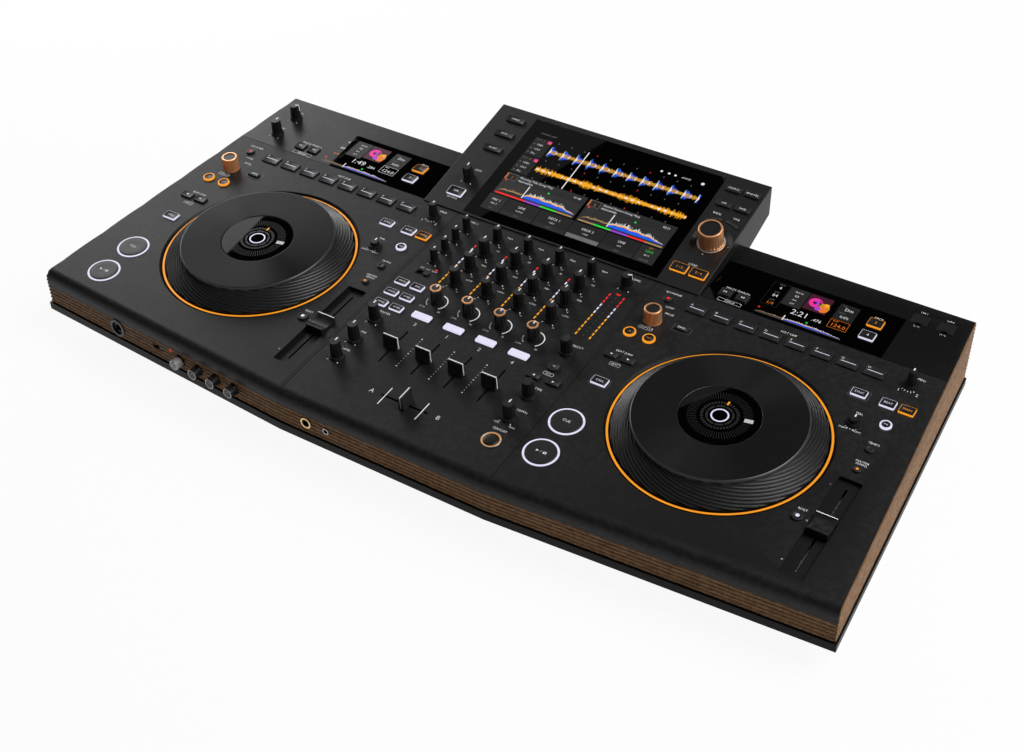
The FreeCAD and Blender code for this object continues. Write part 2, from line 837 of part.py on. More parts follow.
def deck_holes():
    holes = [key_hole(*place) for place in deck_keys]
    holes += [round_hole(*place) for place in deck_buttons]
    for pad_index in range(pad_count):
        holes.append(key_hole(pad_first + pad_index * pad_pitch, pad_along, *pad))
    for along in (play_along, cue_along):
        holes.append(disc(play_across, along, play_ring_radius, -2 * wall, wall))
    for place in (loop_knob_place, speed_knob_place, feel_knob_place):
        holes.append(shaft_hole(*place))
    return holes


def usb_pocket(across):
    return centred(across, usb_along, usb_cover[0] + 2 * wall, usb_cover[1] + 2 * wall,
                   -usb_pocket_depth - wall, -wall / 2)


def usb_room(across):
    width = usb_cover[0] + 2 * clearance
    front = usb_along - usb_cover[1] / 2 - clearance
    back = usb_along + usb_cover[1] / 2 - hinge_radius
    room = block((across - width / 2, across + width / 2), (front, back), (-usb_pocket_depth, wall))
    hinge_end = Vector(across - width / 2, back, hinge_height())
    hinge = Part.makeCylinder(hinge_radius + clearance, width, hinge_end, Vector(1, 0, 0))
    slot = block((across - width / 2, across + width / 2), (back - 1, back + hinge_radius + clearance),
                 (hinge_height(), wall))
    socket_width, socket_length, _ = usb_socket
    socket = centred(across, usb_along, socket_width, socket_length, -through, 0)
    return room.fuse([hinge, slot, socket])


def hinge_height():
    return usb_cover_rise - hinge_radius


def usb_covers():
    covers = []
    for place in usb_places:
        width, length, thickness = usb_cover
        back = usb_along + length / 2 - hinge_radius
        top = usb_cover_rise
        span = (place - width / 2, place + width / 2)
        leaf = block(span, (usb_along - length / 2, back), (top - thickness, top))
        barrel = Part.makeCylinder(hinge_radius, width, Vector(place - width / 2, back, hinge_height()),
                                   Vector(1, 0, 0))
        notch = disc(place, usb_along - length / 2 - 2, 4, top - 2 * thickness, top + 1)
        covers.append(leaf.fuse(barrel).removeSplitter().cut(notch))
    return on_deck(group([deck_at(cover, 1) for cover in covers]))


def display_glass_plate(side):
    glass = centred(side * display_offset, display_along, *display_glass, -glass_thickness, 0)
    module = display_back(-glass_thickness - display_module[2])
    holes = [key_hole(*place) for place in deck_keys[:4]]
    return on_deck(deck_at(joined([glass, module]).cut(holes), side))


def deck_displays():
    return group([display_glass_plate(side) for side in (-1, 1)])


def jog_centre_displays():
    top = jog_top_height - jog_window_sink
    foot = spindle_radius + 3
    profile = [(0, -jog_well_depth), (foot, -jog_well_depth), (foot, -jog_hub_drop - 1),
               (spindle_radius, -jog_hub_drop - 1), (spindle_radius, jog_web[1] + clearance),
               (jog_window_radius - 3, jog_web[1] + clearance),
               (jog_window_radius, jog_web[1] + clearance + 1),
               (jog_window_radius, top - jog_window_chamfer),
               (jog_window_radius - jog_window_chamfer, top), (0, top)]
    display = turned(profile)
    return group([on_deck(deck_at(display, side, 0, jog_along)) for side in (-1, 1)])


def ribbed_cone():
    sections = 5
    wires = []
    for level in range(sections):
        share = level / (sections - 1)
        height = share * jog_neck_height
        radius = jog_rib_base_radius + share * (jog_top_radius + jog_rib_overlap - jog_rib_base_radius)
        corners = []
        for step in range(2 * jog_rib_count):
            angle = math.pi * step / jog_rib_count - math.radians(jog_rib_sweep) * (share - 1)
            reach = radius - (jog_rib_depth if step % 2 else 0.0)
            corners.append(Vector(reach * math.cos(angle), reach * math.sin(angle), height))
        wires.append(Part.makePolygon(corners + corners[:1]))
    return Part.makeLoft(wires, True, True)


def jog_wheel(side):
    bore = spindle_radius + running_fit
    inner = jog_window_radius + clearance
    web_low, web_high = jog_web
    cone_inner = jog_rib_base_radius - jog_rib_depth - jog_shell
    body = turned([
        (bore, -jog_hub_drop), (jog_hub_radius, -jog_hub_drop), (jog_hub_radius, web_low),
        (jog_neck_radius - 3, web_low), (cone_inner, -jog_skirt_drop), (jog_skirt_radius, -jog_skirt_drop),
        (jog_skirt_radius, 0), (jog_neck_radius, jog_neck_height - jog_neck_overlap[0]),
        (jog_neck_radius, jog_neck_height + jog_neck_overlap[1]),
        (jog_top_radius, jog_neck_height + jog_neck_overlap[1]),
        (jog_top_radius, jog_top_height - jog_bevel), (jog_top_radius - jog_bevel, jog_top_height),
        (inner, jog_top_height), (inner, web_high), (bore, web_high),
    ])
    underneath = turned([
        (0, -1), (cone_inner, -1), (cone_inner, 0),
        (jog_neck_radius - 4, jog_neck_height), (0, jog_neck_height)])
    ribs = ribbed_cone().cut(underneath)
    return on_deck(deck_at(joined([body, ribs]), side, 0, jog_along))


def jog_light_ring():
    half = ring_light_width / 2
    return ring(0, 0, ring_light_radius + half, ring_light_radius - half, -jog_well_depth, -ring_light_sink)


def play_ring(along):
    return ring(play_across, along, play_ring_radius, play_radius + clearance, -wall, ring_rise)


def lit_windows():
    windows = []
    for side in (-1, 1):
        windows.append(on_deck(deck_at(jog_light_ring(), side, 0, jog_along)))
        windows += [on_deck(deck_at(play_ring(along), side)) for along in (play_along, cue_along)]
    windows += [on_deck(shape) for shape in mixer_windows()]
    front_window = disc(0, 0, lamp_radius, -trim_thickness - inner_wall, 2 * lamp_rise)
    windows.append(on_front(front_window, front_lamp))
    return group(windows)


def mixer_windows():
    windows = [centred(across + meter_offset, meter_along, *meter, -wall, lamp_rise)
               for across in channel_across]
    windows += [centred(across, meter_along, *meter, -wall, lamp_rise) for across in master_meters]
    windows.append(centred(*clip_lamp, *clip_size, -wall, lamp_rise))
    windows.append(disc(*mic_lamp, lamp_radius, -wall, lamp_rise))
    inner = effect_switch_radius + clearance
    windows.append(ring(*effect_switch, effect_ring_radius, inner, -wall, ring_rise))
    return windows


# Mixer
def mixer_panel():
    edge = seam_half - seam_gap / 2
    panel = panel_shell().common(block((-edge, edge), (-far, far), (0, far)))
    posts = [on_deck(post) for post in board_posts([mixer_board])]
    holes = [key_hole(*place) for place in mixer_keys()]
    holes += [round_hole(*tap_button), disc(*effect_switch, effect_ring_radius, -2 * wall, wall)]
    holes += [shaft_hole(across, along) for _, across, along in mixer_knob_places()]
    holes += [centred(across, fader_along, fader_slot_width, fader_slot_length, -2 * wall, wall)
              for across in channel_across]
    holes.append(centred(*crossfader_place, crossfader_slot_length, fader_slot_width, -2 * wall, wall))
    holes.append(centred(*mic_switch, *mic_switch_slot, -2 * wall, wall))
    holes += [centred(across + meter_offset, meter_along, *meter, -2 * wall, wall)
              for across in channel_across]
    holes += [centred(across, meter_along, *meter, -2 * wall, wall) for across in master_meters]
    holes.append(centred(*clip_lamp, *clip_size, -2 * wall, wall))
    holes.append(disc(*mic_lamp, lamp_radius, -2 * wall, wall))
    holes.append(block((-edge - 1, edge + 1), (rear_strip_along, rear_strip_along + groove_width),
                       (-groove_depth, wall)))
    holes.append(housing_cutout(mixer_cutout_half))
    return joined([panel] + posts).cut([on_deck(hole) for hole in holes])


def mixer_keys():
    keys = [(across, cue_bar_along, *cue_bar) for across in channel_across]
    keys += [(across, along, *selector_key) for across in selector_across for along in selector_along]
    keys += [(across, arrow_along, *arrow_key) for across in arrow_across]
    return keys


def channel_knob_places():
    places = []
    for number, across in zip(channel_numbers, channel_across):
        for band, along in equaliser_along.items():
            places.append((f"channel_{number}_{band}_knob", "equaliser", across, along))
        places.append((f"channel_{number}_colour_knob", "colour", across, colour_along))
    return places


def mixer_fixed_knobs():
    places = [("trim", across, trim_knob_along) for across in channel_across]
    places += [("microphone", mic_knobs_across, along) for along in mic_knobs_along]
    places += [("equaliser", phones_knobs_across, along) for along in phones_knobs_along]
    places += [("effect", *place) for place in effect_knobs]
    places.append(("master", *master_knob))
    return places


def mixer_knob_places():
    moving = [(style, across, along) for _, style, across, along in channel_knob_places()]
    return moving + mixer_fixed_knobs()


def mixer_buttons():
    buttons = [key(*place) for place in mixer_keys()]
    buttons.append(round_button(*tap_button))
    buttons.append(round_button(*effect_switch, effect_switch_radius, play_rise))
    return on_deck(group(buttons))


def microphone_switch():
    across, along = mic_switch
    width, length = mic_switch_lever
    reach = (mic_switch_slot[0] - width) / 2 - clearance
    lever = rounded(across + reach, along, width, length, -wall - clearance - 1, mic_switch_rise, mic_switch_corner)
    plate = centred(across + reach, along, mic_switch_slot[0] + 2 * reach, mic_switch_slot[1] + 2,
                    -wall - clearance - 1, -wall - clearance)
    return on_deck(joined([lever, plate]))


def fixed_knobs():
    knobs = [on_deck(knob(*place, board_sink)) for place in mixer_fixed_knobs()]
    for side in (-1, 1):
        knobs.append(on_deck(deck_at(knob("speed", *speed_knob_place, board_sink), side)))
        knobs.append(on_deck(deck_at(knob("feel", *feel_knob_place, board_sink), side)))
    for place in level_knob_places:
        knobs.append(on_deck(deck_at(knob("level", *place, board_sink), -1)))
    knobs.append(on_housing(knob("level", *echo_knob_place, screen_board_sink)))
    for x in front_knobs_x:
        knobs.append(on_front(knob("front", 0, 0, front_board_sink), (x, front_knobs_z)))
    return group(knobs)


def slider_tracks():
    tracks = [at(track(fader_slot_length, -wall), across, fader_along) for across in channel_across]
    tracks.append(at(track(crossfader_slot_length, -wall), *crossfader_place, 90))
    tempo_track = track(tempo_slot_length, -tempo_pocket[2] - track_wall)
    tracks += [deck_at(tempo_track, side, tempo_across, tempo_along) for side in (-1, 1)]
    return on_deck(group(tracks))


# Screen housing
def housing_top(y):
    return housing_front_height + (y - housing_front_y) * housing_slope


def screen_housing():
    outer = side_profile([
        (housing_front_y, deck_height(housing_front_y)), (housing_front_y, housing_front_height),
        (housing_back_y, overall_height), (housing_back_y, housing_rear_bottom),
        (body_back_y, housing_body_bottom), (body_back_y, deck_height(body_back_y))], housing_half)
    edges = [edge for edge in outer.Edges if abs(abs(edge.CenterOfMass.x) - housing_half) < same_place
             and edge.CenterOfMass.z > housing_rear_bottom and edge.Length > housing_back_y / 2]
    outer = outer.makeFillet(housing_fillet, edges)
    underside = (housing_rear_bottom - housing_body_bottom) / (housing_back_y - body_back_y)
    floor = wall / math.cos(math.atan(underside))
    room_front = deck_y(cutout_along[0])
    room_back = deck_y(cutout_along[1])
    inner_back = body_back_y + wall
    drop = wall / math.cos(math.radians(housing_tilt))
    room = side_profile([
        (room_front, deck_height(room_front) - 1), (room_front, housing_top(room_front) - drop),
        (housing_back_y - wall, housing_top(housing_back_y - wall) - drop),
        (housing_back_y - wall, housing_rear_bottom - wall * underside + floor),
        (inner_back, housing_body_bottom + wall * underside + floor),
        (inner_back, deck_height(inner_back) + wall), (room_back, deck_height(room_back) + wall),
        (room_back, deck_height(room_back) - 1)], housing_half - wall)
    module_room = glass_thickness + screen_module[2] + clearance
    cuts = [centred(0, screen_glass_start + screen_glass[1] / 2, *screen_glass, -glass_thickness, wall),
            centred(0, screen_module_start + screen_module[1] / 2, *screen_module[:2], -module_room, wall)]
    cuts += [key_hole(*place) for place in screen_keys]
    cuts += [arc_hole(span) for span in arc_spans]
    cuts += [shaft_hole(*echo_knob_place), shaft_hole(*browse_place)]
    dish_radius, floor_radius, depth = dish
    bowl = Part.makeCone(floor_radius, dish_radius, depth, Vector(*browse_place, -depth))
    thicker = disc(*browse_place, dish_radius, -wall - depth, -wall / 2)
    bored = [on_housing(shape) for shape in cuts + [bowl]]
    bored.append(on_housing(disc(*browse_place, shaft_radius + clearance, -2 * wall - depth, wall)))
    return joined([outer.cut(room), on_housing(thicker)]).cut(bored)


def touch_screen():
    glass = centred(0, screen_glass_start + screen_glass[1] / 2, *screen_glass, -glass_thickness, 0)
    module = centred(0, screen_module_start + screen_module[1] / 2, *screen_module[:2],
                     -glass_thickness - screen_module[2], -glass_thickness)
    return on_housing(joined([glass, module]))


def screen_buttons():
    buttons = [key(*place) for place in screen_keys]
    buttons += [arc_button(span) for span in arc_spans]
    return on_housing(group(buttons))


# Back panel and sockets
def rear_panel():
    half = side_x(body_back_y) - trim_wrap
    cuts = [on_back(centred(0, 0, *power_inlet_size[:2], -2 * wall, 1), power_inlet),
            on_back(centred(0, 0, *power_switch_size, -2 * wall, 1), power_switch),
            on_back(centred(0, 0, *network_size[:2], -2 * wall, 1), network_socket),
            on_back(centred(0, 0, *usb_b_size[:2], -2 * wall, 1), usb_b_socket)]
    cuts += [on_back(disc(0, 0, phono_radii[0], -2 * wall, 1), place) for place in phono_places()]
    cuts += [on_back(disc(0, 0, balanced_radii[1], -2 * wall, 1), (x, balanced_z)) for x in balanced_x]
    ends = (-half - seam_gap / 2, *rear_seams, half + seam_gap / 2)
    plates = []
    for left, right in zip(ends, ends[1:]):
        across = (left + seam_gap / 2, right - seam_gap / 2)
        plate = block(across, (body_back_y - wall, body_back_y), (base_top, overall_height))
        plates.append(plate.cut([above_deck(wall)] + cuts))
    return group(plates)


def phono_places():
    return [(x, z) for x in phono_x for z in phono_z]


def box_socket(size, pins):
    width, height, depth = size
    outer = centred(0, 0, width, height, -depth, socket_rise / 2)
    flange = centred(0, 0, width + 4, height + 4, 0, socket_rise)
    inside = (width - 2 * socket_rise, height - 2 * socket_rise)
    room = centred(0, 0, *inside, -depth + socket_rise, socket_rise + 1)
    shell = joined([outer, flange]).cut(room)
    posts = [disc(across, 0, pin_radius, -depth, -depth + pin_length) for across in pins]
    return joined([shell] + posts) if posts else shell


def round_socket(outer, inner, depth, rise, pins=()):
    shell = disc(0, 0, inner, -depth, rise).fuse(disc(0, 0, outer, 0, rise)).removeSplitter()
    shell = shell.cut(disc(0, 0, inner - socket_rise, -depth + socket_rise, rise + 1))
    posts = [disc(across, along, pin_radius, -depth, -depth + pin_length) for across, along in pins]
    return joined([shell] + posts) if posts else shell


def phono_socket():
    outer, bore = phono_radii
    body = disc(0, 0, outer, -3 * wall, 7)
    return body.cut(disc(0, 0, bore, -wall, 8))


def rocker_housing():
    width, height = power_switch_size
    outer = centred(0, 0, width + 2 * socket_rise, height + 2 * socket_rise, -6 * wall, -wall)
    return outer.cut(centred(0, 0, width, height, -3 * wall, 0))


def rear_sockets():
    third = balanced_radii[1] / 2
    balanced = round_socket(*balanced_radii, balanced_depth, socket_rise,
                            ((0, -third), (third, third / 2), (-third, third / 2)))
    sockets = [on_back(box_socket(power_inlet_size, power_pin_places), power_inlet),
               on_back(box_socket(network_size, ()), network_socket),
               on_back(box_socket(usb_b_size, ()), usb_b_socket),
               on_back(rocker_housing(), power_switch)]
    sockets += [on_back(balanced, (x, balanced_z)) for x in balanced_x]
    sockets += [on_back(phono_socket(), place) for place in phono_places()]
    return group(sockets)


def usb_sockets():
    width, length, depth = usb_socket
    low = -usb_pocket_depth - depth
    sockets = []
    for across in usb_places:
        outer = centred(across, usb_along, width, length, low, -usb_pocket_depth)
        room = centred(across, usb_along, width - 2 * jack_wall, length - 2 * jack_wall, low + jack_wall, 0)
        sockets.append(on_deck(deck_at(outer.cut(room), 1)))
    return sockets


def front_and_usb_sockets():
    recess_radius, recess_depth = combo_recess
    combo = disc(0, 0, combo_radius, -2 * recess_depth, jack_rise)
    combo = combo.cut(disc(0, 0, recess_radius, -recess_depth, jack_rise + 1))
    combo = combo.cut(disc(0, 0, large_jack_bore[0], -2 * recess_depth + wall, 0))
    sockets = [on_front(combo, combo_jack)]
    for place, bore, radius in ((large_jack, large_jack_bore, large_jack_radius),
                                (small_jack, small_jack_bore, small_jack_radius)):
        body = disc(0, 0, radius, -bore[1] - jack_wall, jack_rise)
        sockets.append(on_front(body.cut(disc(0, 0, bore[0], -bore[1] + jack_rise, jack_rise + 1)), place))
    return group(sockets + usb_sockets())


def front_switch_lever_piece():
    width, height = front_switch_lever
    behind = trim_thickness + inner_wall + clearance
    lever = centred(0, 0, width, height, -behind - 1, -front_lever_sink)
    plate = centred(0, 0, front_switch_slot[0], front_switch_slot[1] + 3, -behind - 2, -behind)
    reach = (front_switch_slot[0] - width) / 2 - clearance
    return on_front(at(joined([lever, plate]), reach, 0), front_switch)


def power_switch_rocker():
    width, height = power_switch_size
    length = width - 2 * clearance
    body = centred(0, 0, length, height - 2, -2, rocker_rise)
    ridge = Part.makeCylinder(rocker_ridge, length, Vector(-length / 2, 0, -2), Vector(1, 0, 0))
    rocker = joined([body, ridge])
    rocker.rotate(Vector(0, 0, -2), Vector(1, 0, 0), rocker_tilt)
    return on_back(rocker, power_switch)


# Circuit boards hang from posts under the panels
def board_posts(areas):
    posts = []
    for left, right, front, back in areas:
        for across in (left + board_post_inset, right - board_post_inset):
            for along in (front + board_post_inset, back - board_post_inset):
                posts.append(disc(across, along, board_post_radius, -board_sink, -wall / 2))
    return posts


def circuit_boards():
    boards = []
    for side in (-1, 1):
        for left, right, front, back in deck_boards:
            area = block((left, right), (front, back), (-board_sink - board_thickness, -board_sink))
            boards.append(on_deck(deck_at(area, side)))
    left, right, front, back = mixer_board
    boards.append(on_deck(block((left, right), (front, back), (-board_sink - board_thickness, -board_sink))))
    low = -screen_board_sink - board_thickness
    for side in (-1, 1):
        across = side * screen_board[0]
        board = centred(across, screen_board[1], *screen_board[2:], low, -screen_board_sink)
        boards.append(on_housing(board))
    middle = (front_knobs_x[0] + front_knobs_x[-1]) / 2
    spread = abs(front_knobs_x[0] - front_knobs_x[-1]) + 3 * shaft_radius
    board = centred(0, 0, spread, 4 * shaft_radius, -front_board_sink - board_thickness, -front_board_sink)
    boards.append(on_front(board, (middle, front_knobs_z)))
    width, length = supply_board[2:]
    supply = centred(*supply_board, foot_height + wall, foot_height + wall + board_thickness)
    transformer = centred(supply_board[0], supply_board[1], width / 3, length / 2,
                          foot_height + wall + board_thickness, base_top)
    boards.append(joined([supply, transformer]))
    return group(boards)


def control_pieces():
    pieces = {}
    for name, style, across, along in channel_knob_places():
        pieces[name] = on_deck(knob(style, across, along, board_sink - clearance))
    for number, across in zip(channel_numbers, channel_across):
        pieces[f"channel_{number}_fader"] = on_deck(at(fader(), across, fader_along + fader_rest))
    across, along = crossfader_place
    pieces["crossfader"] = on_deck(at(fader(), across + crossfader_rest, along, 90))
    for name, side in (("left", -1), ("right", 1)):
        pieces[f"{name}_jog_wheel"] = jog_wheel(side)
        pieces[f"{name}_tempo_slider"] = on_deck(deck_at(tempo_slider(), side, tempo_across, tempo_along))
        loop = copper_style_knob(copper_knob, *loop_knob_place, board_sink - clearance)
        pieces[f"{name}_loop_knob"] = on_deck(deck_at(loop, side))
        for button, along in (("play", play_along), ("cue", cue_along)):
            cap = round_button(play_across, along, play_radius, play_rise)
            pieces[f"{name}_{button}_button"] = on_deck(deck_at(cap, side))
        pads = [key(pad_first + index * pad_pitch, pad_along, *pad, pad_rise) for index in range(pad_count)]
        pieces[f"{name}_hot_cue_pads"] = on_deck(group([deck_at(shape, side) for shape in pads]))
        buttons = [key(*place) for place in deck_keys] + [round_button(*place) for place in deck_buttons]
        pieces[f"{name}_deck_buttons"] = on_deck(group([deck_at(shape, side) for shape in buttons]))
    browse = copper_style_knob(browse_knob, *browse_place, screen_board_sink - clearance, -dish[2])
    pieces["browse_knob"] = on_housing(browse)
    return pieces


def casing_pieces():
    return {
        "bottom_case": bottom_case(),
        "rubber_feet": rubber_feet(),
        "case_screws": case_screws(),
        "fluted_trim": fluted_trim(),
        "rear_panel": rear_panel(),
        "left_deck_panel": deck_panel(-1),
        "mixer_panel": mixer_panel(),
        "right_deck_panel": deck_panel(1),
        "screen_housing": screen_housing(),
        "touch_screen": touch_screen(),
        "deck_displays": deck_displays(),
        "jog_centre_displays": jog_centre_displays(),
        "lit_windows": lit_windows(),
        "circuit_boards": circuit_boards(),
        "front_and_usb_sockets": front_and_usb_sockets(),
        "rear_sockets": rear_sockets(),
        "fixed_knobs": fixed_knobs(),
        "slider_tracks": slider_tracks(),
        "mixer_buttons": mixer_buttons(),
        "screen_buttons": screen_buttons(),
        "microphone_switch": microphone_switch(),
        "front_switch": front_switch_lever_piece(),
        "power_switch": power_switch_rocker(),
        "usb_covers": usb_covers(),
    }


if __name__ == "__main__":
    os.makedirs("parts", exist_ok=True)
    pieces = {**casing_pieces(), **control_pieces()}
    for name, shape in pieces.items():
        shape.exportStep(f"parts/{name}.step")
    print(len(pieces), "pieces")
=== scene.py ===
import bpy
import bmesh
import math
import random
from mathutils import Matrix, Vector


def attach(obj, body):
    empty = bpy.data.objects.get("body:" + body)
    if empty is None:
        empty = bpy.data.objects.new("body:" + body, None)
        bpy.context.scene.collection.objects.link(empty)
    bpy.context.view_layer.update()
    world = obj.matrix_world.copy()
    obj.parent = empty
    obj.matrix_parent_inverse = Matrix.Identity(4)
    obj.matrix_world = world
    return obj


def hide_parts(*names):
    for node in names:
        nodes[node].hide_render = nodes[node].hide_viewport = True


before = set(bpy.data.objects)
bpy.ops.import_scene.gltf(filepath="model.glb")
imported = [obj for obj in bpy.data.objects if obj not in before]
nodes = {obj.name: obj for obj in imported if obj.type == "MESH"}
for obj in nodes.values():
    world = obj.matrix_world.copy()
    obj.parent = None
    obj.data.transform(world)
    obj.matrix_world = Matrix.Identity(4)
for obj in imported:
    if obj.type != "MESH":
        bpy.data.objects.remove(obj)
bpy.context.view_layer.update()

# All-in-one dj console: the CAD pieces get their finishes, and the buttons, lamps, printing and
# screen pictures are built over them. Sizes are in millimetres until a place turns them to metres.
random.seed(11)
mm = 0.001
sideNames = {-1: "left", 1: "right"}

layout = {
    "frontY": -206.911, "deckFrontZ": 64.6, "deckTilt": 4.39, "jogOffset": 234.45, "jogAlong": 141.8,
    "housingAlong": 277.1, "housingRise": 1.2, "backY": 210.05, "topZ": 121.3, "trimLine": 1.5,
    "seam": 103.0, "frontSlope": 20.4 / 289.5, "stripAlong": 279.5,
}
# Heights over a panel: printing, its second layer, the top of a key and the words on it
inkLift = 0.02
inkSecond = 0.03
keyRise = 1.8
keyInk = 1.81


def moved(across, along, out=0.0):
    return Matrix.Translation((across, along, out))


def spun(degrees):
    return Matrix.Rotation(math.radians(degrees), 4, "Z")


def tilted(angle):
    return Matrix.Rotation(angle, 4, "X")


deckTilt = math.radians(layout["deckTilt"])
housingY = layout["frontY"] + layout["housingAlong"]
housingZ = layout["deckFrontZ"] + layout["housingAlong"] * math.tan(deckTilt) + layout["housingRise"]
housingTilt = math.atan((layout["topZ"] - housingZ) / (layout["backY"] - housingY))
toMetres = Matrix.Scale(mm, 4)
deckPlace = toMetres @ moved(0, layout["frontY"], layout["deckFrontZ"]) @ tilted(deckTilt)
housingPlace = toMetres @ moved(0, housingY, housingZ) @ tilted(housingTilt)


def onDeck(across=0.0, along=0.0, out=0.0):
    return deckPlace @ moved(across, along, out)


def onSide(side, across=0.0, along=0.0, out=0.0):
    return onDeck(side * layout["jogOffset"] + across, along, out)


def onHousing(across=0.0, along=0.0, out=0.0):
    return housingPlace @ moved(across, along, out)


def onFront(x, z):
    past = max(0, abs(x) - layout["seam"])
    line = layout["frontY"] + layout["trimLine"] + past * layout["frontSlope"]
    turn = math.copysign(math.atan(layout["frontSlope"]), x) if past else 0
    return toMetres @ moved(x, line, z) @ Matrix.Rotation(turn, 4, "Z") @ tilted(math.pi / 2)


# Shader helpers: a socket takes either a link or a plain value
def feed(tree, socket, value):
    if isinstance(value, bpy.types.NodeSocket):
        tree.links.new(value, socket)
    else:
        socket.default_value = value


def fill(tree, node, **values):
    for label, value in values.items():
        feed(tree, node.inputs[label.replace("_", " ")], value)
    return node


def mixColour(tree, fac, first, second):
    node = tree.nodes.new("ShaderNodeMix")
    node.data_type = "RGBA"
    for index, value in ((0, fac), (6, first), (7, second)):
        feed(tree, node.inputs[index], value)
    return node.outputs[2]


def rangeOf(tree, value, low, high, toLow, toHigh):
    node = tree.nodes.new("ShaderNodeMapRange")
    fill(tree, node, Value=value, From_Min=low, From_Max=high, To_Min=toLow, To_Max=toHigh)
    return node.outputs["Result"]


def mathOf(tree, kind, first, second):
    node = tree.nodes.new("ShaderNodeMath")
    node.operation = kind
    feed(tree, node.inputs[0], first)
    feed(tree, node.inputs[1], second)
    return node.outputs[0]


def noiseOf(tree, coords, scale, detail=3.0):
    node = tree.nodes.new("ShaderNodeTexNoise")
    return fill(tree, node, Vector=coords, Scale=scale, Detail=detail).outputs["Fac"]


def scaledColour(tree, colour, gain):
    node = tree.nodes.new("ShaderNodeVectorMath")
    node.operation = "SCALE"
    feed(tree, node.inputs[0], colour)
    return fill(tree, node, Scale=gain).outputs[0]


def objectCoords(tree):
    return tree.nodes.new("ShaderNodeTexCoord").outputs["Object"]


def stretchedCoords(tree, stretch):
    node = tree.nodes.new("ShaderNodeMapping")
    return fill(tree, node, Vector=objectCoords(tree), Scale=(1.0, 1.0, stretch)).outputs[0]


# Shader groups that more than one finish uses
noiseSpan = (0.3, 0.7)
socketKinds = {"colour": "NodeSocketColor", "number": "NodeSocketFloat"}


def newGroup(name, inputs, outputs):
    group = bpy.data.node_groups.new(name, "ShaderNodeTree")
    for label, kind, value in inputs:
        socket = group.interface.new_socket(label, in_out="INPUT", socket_type=socketKinds[kind])
        socket.default_value = value
    for label, kind in outputs:
        group.interface.new_socket(label, in_out="OUTPUT", socket_type=socketKinds[kind])
    return group, group.nodes.new("NodeGroupInput"), group.nodes.new("NodeGroupOutput")


def buildFineGrain():
    group, inp, out = newGroup(
        "fineGrain",
        [("Colour", "colour", (0.1, 0.1, 0.1, 1)), ("Roughness", "number", 0.5),
         ("Scale", "number", 1100.0), ("Variation", "number", 0.15)],
        [("Colour", "colour"), ("Roughness", "number"), ("Height", "number")])
    coords = objectCoords(group)
    grain = noiseOf(group, coords, inp.outputs["Scale"], 2.0)
    blotch = noiseOf(group, coords, 14.0, 4.0)
    both = mathOf(group, "ADD", rangeOf(group, grain, *noiseSpan, -1.0, 1.0),
                  rangeOf(group, blotch, *noiseSpan, -0.2, 0.2))
    change = mathOf(group, "MULTIPLY", both, inp.outputs["Variation"])
    colour = scaledColour(group, inp.outputs["Colour"], mathOf(group, "ADD", change, 1.0))
    rough = mathOf(group, "ADD", inp.outputs["Roughness"], mathOf(group, "MULTIPLY", change, 0.35))
    fill(group, out, Colour=colour, Roughness=rough, Height=grain)
    return group


# Edge colour group: convex edges, found by pointiness and broken into patches, get a lighter colour; this is
# partly real wear and partly a painted highlight where edges catch the light
def buildEdgeWear():
    group, inp, out = newGroup(
        "edgeWearAndHighlight",
        [("Colour", "colour", (0.1, 0.1, 0.1, 1)), ("Edge Colour", "colour", (0.3, 0.3, 0.3, 1)),
         ("Amount", "number", 0.4)],
        [("Colour", "colour"), ("Mask", "number")])
    point = group.nodes.new("ShaderNodeNewGeometry").outputs["Pointiness"]
    edge = rangeOf(group, point, 0.53, 0.60, 0.0, 1.0)
    patchy = rangeOf(group, noiseOf(group, objectCoords(group), 220.0, 4.0), 0.4, 0.65, 0.3, 1.0)
    mask = mathOf(group, "MULTIPLY", mathOf(group, "MULTIPLY", edge, patchy), inp.outputs["Amount"])
    colour = mixColour(group, mask, inp.outputs["Colour"], inp.outputs["Edge Colour"])
    fill(group, out, Colour=colour, Mask=mask)
    return group


def buildLampGlow():
    group, inp, out = newGroup(
        "lampGlow",
        [("Colour", "colour", (1, 1, 1, 1)), ("Scale", "number", 900.0), ("Unevenness", "number", 0.12)],
        [("Colour", "colour")])
    uneven = noiseOf(group, objectCoords(group), inp.outputs["Scale"], 2.0)
    drop = mathOf(group, "MULTIPLY", rangeOf(group, uneven, *noiseSpan, 1.0, 0.0), inp.outputs["Unevenness"])
    fill(group, out, Colour=scaledColour(group, inp.outputs["Colour"], mathOf(group, "SUBTRACT", 1.0, drop)))
    return group


fineGrain = buildFineGrain()
edgeWearAndHighlight = buildEdgeWear()
lampGlow = buildLampGlow()
print("shader groups built")


def placeGroup(tree, group, **values):
    node = tree.nodes.new("ShaderNodeGroup")
    node.node_tree = group
    return fill(tree, node, **values)


def newMaterial(name):
    material = bpy.data.materials.new(name)
    material.use_nodes = True
    return material, material.node_tree, material.node_tree.nodes["Principled BSDF"]


def bumpInto(tree, shader, height, strength, distance):
    bump = tree.nodes.new("ShaderNodeBump")
    fill(tree, bump, Strength=strength, Distance=distance * mm, Height=height)
    fill(tree, shader, Normal=bump.outputs["Normal"])


# Mixes the lighter edge colour in: wear and painted highlight on the edges
def wornColour(tree, colour, edgeColour, amount):
    wearAndHighlight = placeGroup(tree, edgeWearAndHighlight, Colour=colour, Edge_Colour=(*edgeColour, 1), Amount=amount)
    return wearAndHighlight.outputs["Colour"]


